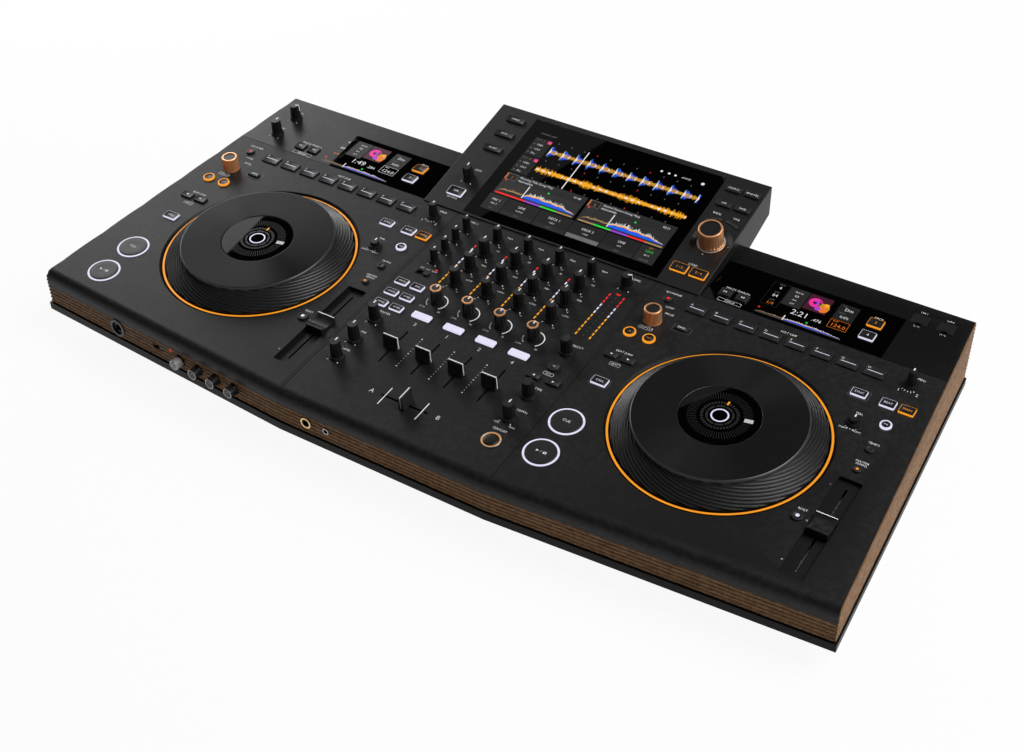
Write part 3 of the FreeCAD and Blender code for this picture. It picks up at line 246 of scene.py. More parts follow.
def grainyMaterial(name, colour, roughness, scale=1100.0, variation=0.1, bump=0.12, edge=None,
                   edgeAmount=0.35, metallic=0.0, specular=0.3):
    material, tree, shader = newMaterial(name)
    grain = placeGroup(tree, fineGrain, Colour=(*colour, 1), Roughness=roughness, Scale=scale,
                       Variation=variation)
    # Edges default to a lighter colour than the body: wear and painted highlight
    edgeColour = edge or [min(1, part * 2.2) for part in colour]
    fill(tree, shader, Base_Color=wornColour(tree, grain.outputs["Colour"], edgeColour, edgeAmount),
         Roughness=grain.outputs["Roughness"], Metallic=metallic, Specular_IOR_Level=specular)
    bumpInto(tree, shader, grain.outputs["Height"], bump, 0.02)
    return material


def satinDisc(name, colour):
    material = grainyMaterial(name, colour, 0.28, variation=0.05, bump=0.05, specular=0.07)
    tree = material.node_tree
    sheen = tree.nodes.new("ShaderNodeTangent")
    sheen.direction_type = "RADIAL"
    sheen.axis = "Z"
    fill(tree, tree.nodes["Principled BSDF"], Anisotropic=1.0, Tangent=sheen.outputs["Tangent"])
    return material


def deckPaint(name, colour, stripColour):
    material, tree, shader = newMaterial(name)
    split = tree.nodes.new("ShaderNodeSeparateXYZ")
    feed(tree, split.inputs[0], objectCoords(tree))
    edgeY = (layout["frontY"] + layout["stripAlong"] * math.cos(deckTilt)) * mm
    blur = 0.1 * mm
    strip = rangeOf(tree, split.outputs["Y"], edgeY - blur, edgeY + blur, 0.0, 1.0)
    grain = placeGroup(tree, fineGrain, Colour=mixColour(tree, strip, (*colour, 1), (*stripColour, 1)),
                       Roughness=rangeOf(tree, strip, 0.0, 1.0, 0.47, 0.38), Scale=950.0, Variation=0.16)
    # Lighter deck edges: wear and painted highlight
    fill(tree, shader, Base_Color=wornColour(tree, grain.outputs["Colour"], (0.05, 0.05, 0.052), 0.2),
         Roughness=grain.outputs["Roughness"], Specular_IOR_Level=0.2)
    bumpInto(tree, shader, grain.outputs["Height"], 0.15, 0.03)
    return material


def flutedWood(name, light, dark):
    material, tree, shader = newMaterial(name)
    coords = stretchedCoords(tree, 16.0)
    flow = noiseOf(tree, coords, 9.0, 5.0)
    fibre = noiseOf(tree, coords, 130.0, 3.0)
    mixed = mathOf(tree, "ADD", mathOf(tree, "MULTIPLY", flow, 0.7), mathOf(tree, "MULTIPLY", fibre, 0.3))
    tone = rangeOf(tree, mixed, 0.35, 0.65, 0.0, 1.0)
    colour = mixColour(tree, tone, (*dark, 1), (*light, 1))
    # Lighter edges on the flutes: wear and painted highlight
    fill(tree, shader, Base_Color=wornColour(tree, colour, (0.36, 0.21, 0.11), 0.5),
         Roughness=rangeOf(tree, fibre, *noiseSpan, 0.42, 0.58), Specular_IOR_Level=0.12)
    bumpInto(tree, shader, fibre, 0.2, 0.08)
    return material


def copperFinish(name, colour):
    material, tree, shader = newMaterial(name)
    lines = noiseOf(tree, stretchedCoords(tree, 12.0), 700.0, 2.0)
    tinted = scaledColour(tree, colour, rangeOf(tree, lines, *noiseSpan, 0.85, 1.12))
    # Lighter copper on the edges and knurls: wear and painted highlight
    fill(tree, shader, Base_Color=wornColour(tree, tinted, (0.95, 0.72, 0.55), 0.6),
         Roughness=rangeOf(tree, lines, *noiseSpan, 0.34, 0.46), Metallic=0.75)
    bumpInto(tree, shader, lines, 0.12, 0.02)
    return material


def darkGlass(name, colour):
    material, tree, shader = newMaterial(name)
    polish = 0.012
    smears = noiseOf(tree, objectCoords(tree), 35.0, 5.0)
    tone = placeGroup(tree, fineGrain, Colour=(*colour, 1), Roughness=polish, Scale=60.0, Variation=0.08)
    fill(tree, shader, Base_Color=tone.outputs["Colour"], Specular_IOR_Level=0.075,
         Roughness=rangeOf(tree, smears, 0.35, 0.75, polish, polish + 0.02))
    bumpInto(tree, shader, smears, 0.01, 0.005)
    return material


def litMaterial(name, colour, strength, base=(0.004, 0.004, 0.004)):
    material, tree, shader = newMaterial(name)
    glow = placeGroup(tree, lampGlow, Colour=(*colour, 1), Unevenness=0.12)
    body = placeGroup(tree, lampGlow, Colour=(*base, 1), Unevenness=0.3)
    fill(tree, shader, Emission_Color=glow.outputs["Colour"], Emission_Strength=strength,
         Base_Color=body.outputs["Colour"], Roughness=0.4, Specular_IOR_Level=0.15)
    return material


def printMaterial(name, tone):
    material, tree, shader = newMaterial(name)
    ink = placeGroup(tree, fineGrain, Colour=(tone, tone, tone, 1), Roughness=0.5, Scale=1800.0,
                     Variation=0.12)
    fill(tree, shader, Base_Color=ink.outputs["Colour"], Roughness=ink.outputs["Roughness"])
    return material


# The edge colours and amounts below lighten the edges of knobs, keys, pads and faders and the crests of the
# jog ribs: partly wear, partly painted highlight
finishes = {
    "deck": deckPaint("deckCharcoal", (0.0052, 0.0052, 0.0053), (0.0040, 0.0040, 0.0041)),
    "housing": grainyMaterial("housingCharcoal", (0.0052, 0.0052, 0.0053), 0.46, variation=0.14),
    "base": grainyMaterial("baseBlack", (0.005, 0.005, 0.0052), 0.4, variation=0.2, specular=0.1),
    "rear": grainyMaterial("rearBlack", (0.007, 0.007, 0.0072), 0.5),
    "wood": flutedWood("flutedWalnut", (0.165, 0.082, 0.035), (0.085, 0.041, 0.016)),
    "rubber": grainyMaterial("footRubber", (0.02, 0.02, 0.02), 0.8, scale=1500.0, bump=0.4),
    "steel": grainyMaterial("screwSteel", (0.5, 0.5, 0.5), 0.35, metallic=1.0),
    "track": grainyMaterial("trackSteel", (0.32, 0.32, 0.33), 0.4, metallic=1.0),
    "knob": grainyMaterial("knobBlack", (0.006, 0.006, 0.0062), 0.4, edge=(0.07, 0.07, 0.072),
                           edgeAmount=0.5),
    "silver": grainyMaterial("ringSilver", (0.50, 0.50, 0.51), 0.35, metallic=0.6),
    "paleKnob": grainyMaterial("knobGrey", (0.3, 0.3, 0.31), 0.45),
    "fader": grainyMaterial("faderBlack", (0.006, 0.006, 0.0065), 0.36, edge=(0.05, 0.05, 0.052)),
    "jog": grainyMaterial("jogBlack", (0.012, 0.012, 0.0122), 0.36, variation=0.03, bump=0.02,
                          edge=(0.03, 0.03, 0.031), edgeAmount=0.05, specular=0.6),
    "jogEdge": grainyMaterial("jogBevel", (0.030, 0.030, 0.031), 0.3, variation=0.05, specular=0.5),
    "jogTop": satinDisc("jogSatin", (0.0095, 0.0095, 0.0096)),
    "key": grainyMaterial("keyCharcoal", (0.0125, 0.0125, 0.0128), 0.42, edge=(0.12, 0.12, 0.125)),
    "keyFace": grainyMaterial("keyFaceBlack", (0.006, 0.006, 0.007), 0.4),
    "socket": grainyMaterial("socketBlack", (0.014, 0.014, 0.015), 0.3),
    "gold": grainyMaterial("socketGold", (0.75, 0.52, 0.22), 0.3, metallic=1.0),
    "board": grainyMaterial("boardGreen", (0.02, 0.09, 0.045), 0.45, scale=400.0),
    "copper": copperFinish("anodisedCopper", (0.92, 0.46, 0.21)),
    "glass": darkGlass("screenGlass", (0.0006, 0.0006, 0.0007)),
    "jogGlass": darkGlass("jogGlass", (0.0006, 0.0006, 0.0007)),
    "white": printMaterial("whitePrint", 0.80),
    "grey": printMaterial("greyPrint", 0.10),
    "line": printMaterial("pointerWhite", 0.85),
    "slit": printMaterial("slotBlack", 0.004),
}
# Lit finishes: colour, strength and, where it shows, the colour of the unlit plastic
litLooks = {
    "litWhite": ((0.82, 0.80, 1.0), 0.92, (0.10, 0.10, 0.11)),
    "litAmber": ((0.98, 0.35, 0.02), 0.98, (0.05, 0.02, 0.004)),
    "litRed": ((1.0, 0.02, 0.015), 0.9, (0.10, 0.005, 0.005)),
    "litGreen": ((0.02, 0.85, 0.04), 0.9), "litBlue": ((0.008, 0.11, 0.85), 1.0),
    "litYellow": ((0.98, 0.42, 0.012), 1.0), "litOrange": ((0.82, 0.20, 0.02), 1.0),
    "litPurple": ((0.42, 0.06, 0.80), 0.9), "litPink": ((0.88, 0.03, 0.36), 1.0),
    "litTan": ((0.45, 0.28, 0.12), 0.9), "litDim": ((0.022, 0.022, 0.023), 0.8),
    "litText": ((0.86, 0.86, 0.88), 1.0), "litPale": ((0.17, 0.17, 0.175), 0.9),
    "litOchre": ((0.62, 0.30, 0.03), 0.95), "litBox": ((0.011, 0.011, 0.0115), 0.9),
    "litWine": ((0.06, 0.006, 0.02), 0.9),
}
for name, look in litLooks.items():
    finishes[name] = litMaterial(name, *look)
print(len(finishes), "finishes built")

nodeFinishes = {
    "bottom_case": "base", "rubber_feet": "rubber", "case_screws": "steel", "fluted_trim": "wood",
    "rear_panel": "rear", "left_deck_panel": "deck", "mixer_panel": "deck", "right_deck_panel": "deck",
    "screen_housing": "housing", "touch_screen": "glass", "deck_displays": "glass",
    "jog_centre_displays": "jogGlass", "lit_windows": "litAmber", "circuit_boards": "board",
    "front_and_usb_sockets": "socket", "rear_sockets": "socket", "fixed_knobs": "knob",
    "slider_tracks": "track", "microphone_switch": "keyFace", "front_switch": "keyFace",
    "power_switch": "keyFace", "usb_covers": "housing",
}
# For the other nodes, the first of these words that the name holds decides
wordFinishes = (("jog_wheel", "jog"), ("fader", "fader"), ("slider", "fader"), ("loop_knob", "copper"),
                ("browse_knob", "copper"), ("knob", "knob"))


def finishOf(name):
    if name in nodeFinishes:
        return finishes[nodeFinishes[name]]
    for word, finish in wordFinishes:
        if word in name:
            return finishes[finish]
    return finishes["key"]


for name, node in nodes.items():
    finish = finishOf(name)
    if not node.material_slots:
        node.data.materials.append(finish)
    for holder in node.material_slots:
        holder.material = finish
print("frame finished")


# Shapes are lists of points, faces and finish marks in a panel's own millimetres
def shape():
    return {"points": [], "faces": [], "marks": []}


def addInto(target, source, place=None, mark=None):
    start = len(target["points"])
    for point in source["points"]:
        target["points"].append(place @ Vector(point) if place else Vector(point))
    for face, own in zip(source["faces"], source["marks"]):
        target["faces"].append([start + corner for corner in face])
        target["marks"].append(own if mark is None else mark)
    return target


def roundedOutline(width, length, corner, steps=4):
    points = []
    for cx, cy, start in ((1, 1, 0), (-1, 1, 90), (-1, -1, 180), (1, -1, 270)):
        for step in range(steps + 1):
            angle = math.radians(start + 90 * step / steps)
            points.append((cx * (width / 2 - corner) + corner * math.cos(angle),
                           cy * (length / 2 - corner) + corner * math.sin(angle)))
    return points


def circleOutline(radius, steps=48):
    turns = [2 * math.pi * k / steps for k in range(steps)]
    return [(radius * math.cos(turn), radius * math.sin(turn)) for turn in turns]


def ringFaces(rows, count):
    faces = []
    for row in range(rows):
        low, high = row * count, (row + 1) * count
        for k in range(count):
            n = (k + 1) % count
            faces.append([low + k, low + n, high + n, high + k])
    return faces


def stacked(outlineAt, levels, bands=None, topMark=0):
    rows = len(levels) - 1
    count = len(outlineAt(levels[0][0]))
    return {"points": [(x, y, height) for inset, height in levels for x, y in outlineAt(inset)],
            "faces": ringFaces(rows, count) + [[rows * count + k for k in range(count)]],
            "marks": [band for band in bands or [0] * rows for _ in range(count)] + [topMark]}


def stackedDisc(radius, levels, steps=48, bands=None, topMark=0):
    return stacked(lambda inset: circleOutline(radius - inset, steps), levels, bands, topMark)


def stackedPlate(width, length, corner, levels):
    return stacked(lambda inset: roundedOutline(width - 2 * inset, length - 2 * inset, corner), levels)


def capBands(lit):
    return [0] + 4 * [1 if lit else 0] + [2]


def keyShape(width, length, rise, lit):
    def outlineAt(inset):
        return roundedOutline(width - 2 * inset, length - 2 * inset, max(0.9 - inset, 0.2))

    levels = [(0, -3.0), (0, 0.05), (0, rise - 0.35), (0.08, rise - 0.12), (0.24, rise), (0.42, rise),
              (0.52, rise - 0.05)]
    return stacked(outlineAt, levels, capBands(lit), 2)


def roundShape(radius, rise, lit, rim=1.0):
    return stackedDisc(radius, [(0, -3.0), (0, 0.1), (0, rise - 0.35), (0.1, rise - 0.12), (0.35, rise),
                                (rim, rise), (rim + 0.1, rise - 0.06)], 48, capBands(lit), 2)


def turnedShape(profile, steps=160, marks=None):
    rows = len(profile) - 1
    points = [(x, y, height) for radius, height in profile for x, y in circleOutline(radius, steps)]
    return {"points": points, "faces": ringFaces(rows, steps),
            "marks": [mark for mark in marks or [0] * rows for _ in range(steps)]}


def ringWall(outer, inner, low, high, steps):
    return turnedShape([(outer, low), (outer, high - 0.15), (outer - 0.15, high), (inner + 0.15, high),
                        (inner, high - 0.15), (inner, low)], steps)


def flat(outline, height=0.0):
    points = [(x, y, height) for x, y in outline]
    return {"points": points, "faces": [list(range(len(points)))], "marks": [0]}


def bar(left, right, front, back, height=0.0):
    return flat([(left, front), (right, front), (right, back), (left, back)], height)


def dotShape(radius, steps=16, height=0.0):
    return flat(circleOutline(radius, steps), height)


def frameShape(outer, inner, height=0.0):
    return {"points": [(x, y, height) for x, y in outer + inner], "faces": ringFaces(1, len(outer)),
            "marks": [0] * len(outer)}


def hoopShape(outer, inner, height=0.0, steps=48):
    return frameShape(circleOutline(outer, steps), circleOutline(inner, steps), height)


def boxLine(width, length, thickness, corner=0.8):
    inner = roundedOutline(width - 2 * thickness, length - 2 * thickness, max(corner - thickness, 0.1))
    return frameShape(roundedOutline(width, length, corner), inner)


def arcShape(inner, outer, start, end):
    steps = max(2, int(abs(end - start) / 4))
    made = shape()
    for step in range(steps + 1):
        angle = math.radians(start + (end - start) * step / steps)
        for radius in (inner, outer):
            made["points"].append((radius * math.cos(angle), radius * math.sin(angle), 0.0))
    made["faces"] = [[2 * step, 2 * step + 1, 2 * step + 3, 2 * step + 2] for step in range(steps)]
    made["marks"] = [0] * steps
    return made


def tickShape(inner, outer, angle, half):
    return arcShape(inner, outer, angle - half, angle + half)


def arrowShape(size, back=False):
    sign = -1 if back else 1
    tail, tip = -0.5 * size * sign, 0.6 * size * sign
    return flat([(tail, -0.55 * size), (tip, 0.0), (tail, 0.55 * size)][::sign])


textShapes = {}
letterHeight = 0.7


def textShape(words, size, align="CENTER"):
    if (words, align) not in textShapes:
        curve = bpy.data.curves.new("words", "FONT")
        curve.body = words
        curve.align_x = align
        curve.align_y = "CENTER"
        curve.resolution_u = 2
        curve.offset = -0.006
        holder = bpy.data.objects.new("words", curve)
        bpy.context.scene.collection.objects.link(holder)
        mesh = bpy.data.meshes.new_from_object(holder.evaluated_get(bpy.context.evaluated_depsgraph_get()))
        textShapes[(words, align)] = ([tuple(v.co) for v in mesh.vertices],
                                      [list(p.vertices) for p in mesh.polygons])
        bpy.data.objects.remove(holder)
        bpy.data.curves.remove(curve)
        bpy.data.meshes.remove(mesh)
    points, faces = textShapes[(words, align)]
    scale = size / letterHeight
    return {"points": [(x * scale, y * scale, 0.0) for x, y, _ in points], "faces": faces,
            "marks": [0] * len(faces)}


def makePiece(name, made, finishNames, body, replaced=(), sharp=35.0):
    mesh = bpy.data.meshes.new(name)
    mesh.from_pydata([tuple(point) for point in made["points"]], [], made["faces"])
    for finishName in finishNames:
        mesh.materials.append(finishes[finishName])
    for polygon, mark in zip(mesh.polygons, made["marks"]):
        polygon.material_index = mark
        polygon.use_smooth = True
    work = bmesh.new()
    work.from_mesh(mesh)
    bmesh.ops.recalc_face_normals(work, faces=work.faces)
    work.to_mesh(mesh)
    work.free()
    mesh.set_sharp_from_angle(angle=math.radians(sharp))
    piece = bpy.data.objects.new(name, mesh)
    bpy.context.scene.collection.objects.link(piece)
    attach(piece, body)
    if replaced:
        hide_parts(*replaced)
    return piece


# Flat printing and pictures are gathered in sheets, with a finish mark for every colour
sheetFinishes = list(finishes)
sheets = {}


def draw(sheetName, made, place, finishName):
    addInto(sheets.setdefault(sheetName, shape()), made, place, sheetFinishes.index(finishName))


# Caps share one order of finishes: body, white rim, face, amber rim
capFinishes = ["key", "litWhite", "keyFace", "litAmber"]


def withRim(made, rim):
    swap = {1: 3} if rim == "litAmber" else ({} if rim else {2: 0})
    return {**made, "marks": [swap.get(mark, mark) for mark in made["marks"]]}


def drawGap(sheetName, place, width, length, gap=0.8, corner=1.4):
    line = boxLine(width + 2 * gap, length + 2 * gap, gap, corner)
    draw(sheetName, line, place @ moved(0, 0, inkLift), "slit")


# Deck keys: across, along, width, length, rim finish, words on it
deckKeys = [
    (-70.4, 292.8, 10.9, 9.4, None, "|<"), (-54.7, 292.8, 10.9, 9.4, None, ">|"),
    (57.6, 316.8, 13.1, 10.7, "litAmber", "deckUpper"), (57.6, 299.5, 13.1, 10.3, "litWhite", "deckLower"),
    (79.2, 232.3, 13.1, 8.1, "litWhite", "SYNC"), (104.0, 231.9, 12.7, 9.5, "litWhite", "BEAT"),
    (120.1, 231.9, 12.9, 9.5, "litAmber", "MAIN"), (-109.5, 142.8, 14.0, 9.0, "litWhite", "CALL"),
    (-117.7, 176.0, 12.4, 8.0, None, "<"), (-101.6, 176.0, 12.4, 8.0, None, ">"),
    (-81.8, 232.7, 11.9, 5.9, None, "GRID"),
]
# Round deck buttons: across, along, radius, rim finish, lamp in the middle, words
deckButtons = [
    (111.7, 208.7, 5.0, "litWhite", None, "VNL"), (111.5, 177.9, 3.6, None, None, ""),
    (111.5, 153.5, 3.4, None, "litAmber", ""), (92.2, 88.1, 4.8, None, "litWhite", ""),
    (-118.2, 208.0, 5.7, "litAmber", None, "IN"), (-99.6, 208.0, 5.7, "litAmber", None, "OUT"),
    (-109.9, 261.3, 4.3, None, "litRed", ""),
]
padRow = {"first": -81.85, "pitch": 23.2, "along": 260.7, "width": 17.5, "length": 11.4, "rise": 1.4}
playPair = {"across": -109.3, "play": 50.4, "cue": 89.6, "radius": 13.1, "ring": 15.0, "ink": 1.3}
# Printed words on each deck: words, across, along, capital height
deckWords = [
    ("QUANTIZE", -109.1, 270.6, 1.7), ("HOT CUE", -0.5, 271.0, 1.9), ("TRACK SEARCH", -62.5, 300.4, 1.8),
    ("DECK", 57.7, 324.6, 1.7), ("SPEED", 115.9, 271.2, 1.7), ("1", 104.3, 252.4, 2.6),
    ("2", 119.8, 252.4, 2.6), ("FEEL", 88.7, 211.2, 1.7), ("LIGHT", 83.2, 191.2, 1.4),
    ("HEAVY", 94.6, 191.2, 1.4), ("TEMPO", 111.8, 185.6, 1.7), ("MASTER", 111.8, 163.2, 1.7),
    ("TEMPO", 111.8, 160.2, 1.7), ("RESET", 92.6, 96.6, 1.7), ("BEAT JUMP", -109.3, 183.4, 1.8),
    ("LOOP", -103.6, 252.4, 1.7), ("MOVE", -99.6, 244.4, 1.7), ("-", 99.9, 130.7, 2.0),
    ("0", 99.9, 88.0, 1.5), ("+", 99.9, 45.2, 2.0),
]
# Printed boxes with words in them: words, across, along, width
deckBoxes = [("SEARCH", -62.5, 283.8, 22.5), ("LOOP CUT", -109.1, 219.6, 13.0), ("BEAT", -109.3, 167.0, 9.6)]
# Grey frames round some keys: across, along, width, length
deckFrames = [(79.6, 232.3, 17.0, 10.4), (-109.5, 142.8, 17.6, 10.6), (-81.3, 232.7, 17.0, 8.6)]
tickAngles = (235, 252, 270, 288, 305)
printScale = 1.25
# Knobs that more than one section draws on: across, along
speedKnob, feelKnob, loopKnob = (111.5, 261.8), (88.8, 199.6), (-108.0, 230.2)
masterKnob, depthKnob, onButton = (84.0, 260.3), (82.3, 71.3), (83.3, 42.8)
sendKnob, browseKnob = (-120.5, 41.9), (125.9, 61.7)
levelAcross = -106.4


def drawKeyFace(sheetName, words, rim, side, width, place):
    ink = rim or "line"
    if words in ("<", ">", "|<", ">|"):
        draw(sheetName, arrowShape(2.0 if len(words) == 1 else 1.7, words in ("<", "|<")), place, ink)
        if "|" in words:
            shift = -2.0 if words == "|<" else 1.4
            draw(sheetName, bar(shift, shift + 0.6, -1.0, 1.0), place, ink)
        return
    number = {"deckUpper": "12"[side > 0], "deckLower": "34"[side > 0]}.get(words, words)
    size = 3.0 if len(number) == 1 else min(2.2, 0.95 * width / len(number))
    draw(sheetName, textShape(number, size), place, ink)


def buildDeckKeys(side, name, sheetName):
    caps = shape()
    faceSheet = f"{name}ButtonPrint"
    for across, along, width, length, rim, words in deckKeys:
        place = onSide(side, across, along)
        addInto(caps, withRim(keyShape(width, length, keyRise, rim), rim), place)
        drawGap(sheetName, place, width, length, 0.7, 1.5)
        drawKeyFace(faceSheet, words, rim, side, width, onSide(side, across, along, keyRise))
    for across, along, radius, rim, lamp, words in deckButtons:
        addInto(caps, withRim(roundShape(radius, keyRise, rim, 1.4), rim), onSide(side, across, along))
        place = onSide(side, across, along, keyRise)
        if lamp:
            draw(faceSheet, dotShape(radius * 0.34, 24), place, lamp)
            gap = hoopShape(radius + 1.3, radius + 0.7, steps=40)
            draw(sheetName, gap, onSide(side, across, along, inkSecond), "slit")
        if words:
            draw(faceSheet, textShape(words, 1.5), place, rim)
    makePiece(f"{name}DeckKeys", caps, capFinishes, f"{name}_deck_buttons",
              [f"{name}_deck_buttons"])


def buildPads(side, name):
    pads = shape()
    sheetName = f"{name}PadPrint"
    for index, letter in enumerate("ABCDEFGH"):
        across = padRow["first"] + index * padRow["pitch"]
        pad = keyShape(padRow["width"], padRow["length"], padRow["rise"], None)
        addInto(pads, pad, onSide(side, across, padRow["along"]), 0)
        place = onSide(side, across, padRow["along"], padRow["rise"])
        draw(sheetName, bar(-6.6, 6.6, -0.1, 0.5), place, "litWhite")
        draw(sheetName, textShape(letter, 2.3), place @ moved(-6.0, 3.3, 0.01), "litText")
    makePiece(f"{name}Pads", pads, ["key"], f"{name}_hot_cue_pads", [f"{name}_hot_cue_pads"])


def buildPlayPair(side, name):
    levels = [(0, -3.0), (0, 0.9), (0.4, 1.3), (1.2, 1.4), (6.0, 1.25), (12.0, 1.15)]
    for button in ("play", "cue"):
        along = playPair[button]
        piece = addInto(shape(), stackedDisc(playPair["radius"], levels, 72),
                        onSide(side, playPair["across"], along))
        node = f"{name}_{button}_button"
        makePiece(f"{name}{button.title()}Cap", piece, ["key"], node, [node])
        place = onSide(side, playPair["across"], along, playPair["ink"])
        sheetName = f"{name}{button.title()}Print"
        if button == "cue":
            draw(sheetName, textShape("CUE", 2.7), place, "line")
            continue
        draw(sheetName, arrowShape(2.3), place @ moved(-3.2, 0), "line")
        draw(sheetName, textShape("/", 2.6), place, "line")
        for shift in (2.2, 3.9):
            draw(sheetName, bar(shift, shift + 1.0, -1.3, 1.3), place, "line")


def printDeck(side, sheetName):
    for words, across, along, size in deckWords:
        draw(sheetName, textShape(words, size * printScale), onSide(side, across, along, inkLift), "line")
    for words, across, along, width in deckBoxes:
        place = onSide(side, across, along, inkLift)
        draw(sheetName, boxLine(width, 4.0, 0.25), place, "white")
        draw(sheetName, textShape(words, 1.9), place, "line")
    for across, along, width, length in deckFrames:
        draw(sheetName, boxLine(width, length, 0.3, 1.2), onSide(side, across, along, inkLift), "grey")
    for angle in tickAngles:
        draw(sheetName, tickShape(7.4, 9.2, angle, 1.6), onSide(side, *speedKnob, inkLift), "white")
        draw(sheetName, tickShape(7.0, 8.2, angle, 2), onSide(side, *feelKnob, inkLift), "white")


def buildDeck(side, name):
    sheetName = f"{name}DeckPrint"
    buildDeckKeys(side, name, sheetName)
    buildPads(side, name)
    buildPlayPair(side, name)
    printDeck(side, sheetName)


# Jog wheels: a satin disc over a cone of swept ribs
jogWheel = {"inner": 33.3, "disc": 71.0, "height": 15.7, "bevel": 1.3, "neck": 69.4, "neckHeight": 12.8,
            "rim": 86.6, "rimHeight": 0.4, "skirt": 86.0, "drop": -4.0, "ribs": 32, "perRib": 15,
            "sweep": 84.0, "ribDepth": 1.3, "ribLean": 1.8, "steps": 60}


def ribbedCone():
    made = shape()
    around = jogWheel["ribs"] * jogWheel["perRib"]
    for step in range(jogWheel["steps"] + 1):
        share = step / jogWheel["steps"]
        radius = jogWheel["neck"] + (jogWheel["rim"] - jogWheel["neck"]) * share
        level = jogWheel["neckHeight"] + (jogWheel["rimHeight"] - jogWheel["neckHeight"]) * share
        swept = math.radians(jogWheel["sweep"]) * share
        for k in range(around):
            phase = (k % jogWheel["perRib"] / jogWheel["perRib"]) ** jogWheel["ribLean"]
            crest = 0.5 - 0.5 * math.cos(2 * math.pi * phase)
            lift = jogWheel["ribDepth"] * (crest - 1) * min(1, share * 6 + 0.3)
            angle = 2 * math.pi * k / around + swept
            reach = radius + 0.6 * lift
            made["points"].append((reach * math.cos(angle), reach * math.sin(angle), level + 0.8 * lift))
    made["faces"] = ringFaces(jogWheel["steps"], around)
    made["marks"] = [0] * len(made["faces"])
    return made


def buildJog(side, name):
    inner, disc, height, bevel = (jogWheel[key] for key in ("inner", "disc", "height", "bevel"))
    neck, neckHeight = jogWheel["neck"], jogWheel["neckHeight"]
    place = onSide(side, 0, layout["jogAlong"])
    top = turnedShape([(inner, height - 4.0), (inner, height - 0.2), (inner + 0.2, height),
                       (inner + 0.8, height), (disc - bevel - 0.6, height), (disc - bevel, height),
                       (disc - 0.5 * bevel, height - 0.18), (disc, height - bevel),
                       (disc, neckHeight + 0.4), (neck, neckHeight + 0.1), (neck - 3, neckHeight)],
                      marks=[0, 0, 1, 1, 1, 2, 2, 2, 0, 0])
    skirt = turnedShape([(jogWheel["rim"] + 0.3, 0.3), (jogWheel["skirt"], jogWheel["drop"]),
                         (60.0, jogWheel["drop"])])
    made = shape()
    for part in (top, ribbedCone(), skirt):
        addInto(made, part, place)
    makePiece(f"{name}JogWheel", made, ["jog", "jogTop", "jogEdge"], f"{name}_jog_wheel",
              [f"{name}_jog_wheel"], sharp=62.0)


for side, name in sideNames.items():
    buildDeck(side, name)
    buildJog(side, name)
for words, across in (("USB 1", 88.0), ("USB 2", 111.0)):
    draw("rightDeckPrint", textShape(words, 1.7), onSide(1, across, 349.6, inkLift), "white")
    draw("rightDeckPrint", textShape("5V 1A", 1.5), onSide(1, across, 330.6, inkLift), "white")
for along in (340.0, 309.6):
    draw("leftDeckPrint", textShape("LEVEL", 1.5), onSide(-1, levelAcross, along, inkLift), "white")
    for angle in (230, 310):
        place = onSide(-1, levelAcross, along - 9.6, inkLift)
        draw("leftDeckPrint", tickShape(7.6, 9.4, angle, 2), place, "white")
print("deck controls built")

# Lamps: the jog rings, the rings round play and cue, the level meters and the small lamps
lamps = shape()
lampFinishes = ["litAmber", "litWhite", "litRed", "litYellow", "slit", "silver"]
ringLight = {"radius": 88.7, "width": 1.9, "sink": 1.5, "floor": -12.9}
for side in sideNames:
    place = onSide(side, 0, layout["jogAlong"])
    half, sink = ringLight["width"] / 2, ringLight["sink"]
    outer, inner = ringLight["radius"] + half, ringLight["radius"] - half
    addInto(lamps, ringWall(outer, inner, ringLight["floor"], -sink - 0.02, 160), place, 4)
    addInto(lamps, hoopShape(outer, inner, -sink, 160), place, 0)
    for along in (playPair["play"], playPair["cue"]):
        ring = ringWall(playPair["ring"], playPair["radius"] + 0.3, -2.4, 0.6, 72)
        addInto(lamps, ring, onSide(side, playPair["across"], along), 1)
channels = {"across": (-50.3, -17.0, 16.1, 49.2), "numbers": "3124", "trim": 259.7, "colour": 161.5,
            "high": 237.6, "mid": 214.2, "low": 190.6, "fader": 93.8, "crossfader": 42.4}
meters = {"offset": -13.9, "along": 214.4, "width": 2.4, "length": 62.4, "dash": 1.25, "dashes": 12,
          "main": (76.8, 90.5), "back": -0.2}


def addMeter(across, reds):
    made = shape()
    count, half = meters["dashes"], meters["length"] / 2
    pitch = meters["length"] / count
    addInto(made, bar(-0.5 * meters["width"], 0.5 * meters["width"], -half, half, meters["back"]), None, 4)
    dash = stackedPlate(meters["dash"], 0.64 * pitch, 0.3, [(0, meters["back"]), (0, 0.0), (0.15, 0.09)])
    for index in range(count):
        mark = 3 if index < 0.5 * count else (1 if index < count - reds else 2)
        addInto(made, dash, moved(0, (index + 0.5) * pitch - half), mark)
    addInto(lamps, made, onDeck(across, meters["along"]))


for across in channels["across"]:
    addMeter(across + meters["offset"], 1)
for across in meters["main"]:
    addMeter(across, 3)
addInto(lamps, stackedPlate(4.2, 1.6, 0.4, [(0, -1), (0, 0.0), (0.1, 0.1)]), onDeck(83.7, 246.2), 2)
smallLamp = stackedDisc(1.2, [(0, -1), (0, 0.0), (0.3, 0.1)], 20)
addInto(lamps, smallLamp, onDeck(-75.5, 197.1), 2)
addInto(lamps, smallLamp, onFront(-230.6, 49.4), 2)
addInto(lamps, ringWall(7.7, 7.1, -2.4, 0.6, 64), onDeck(*onButton), 0)
addInto(lamps, ringWall(8.5, 7.7, -2.4, 0.6, 64), onDeck(*onButton), 5)
makePiece("lamps", lamps, lampFinishes, "console", ["lit_windows"])
print("lamps built")

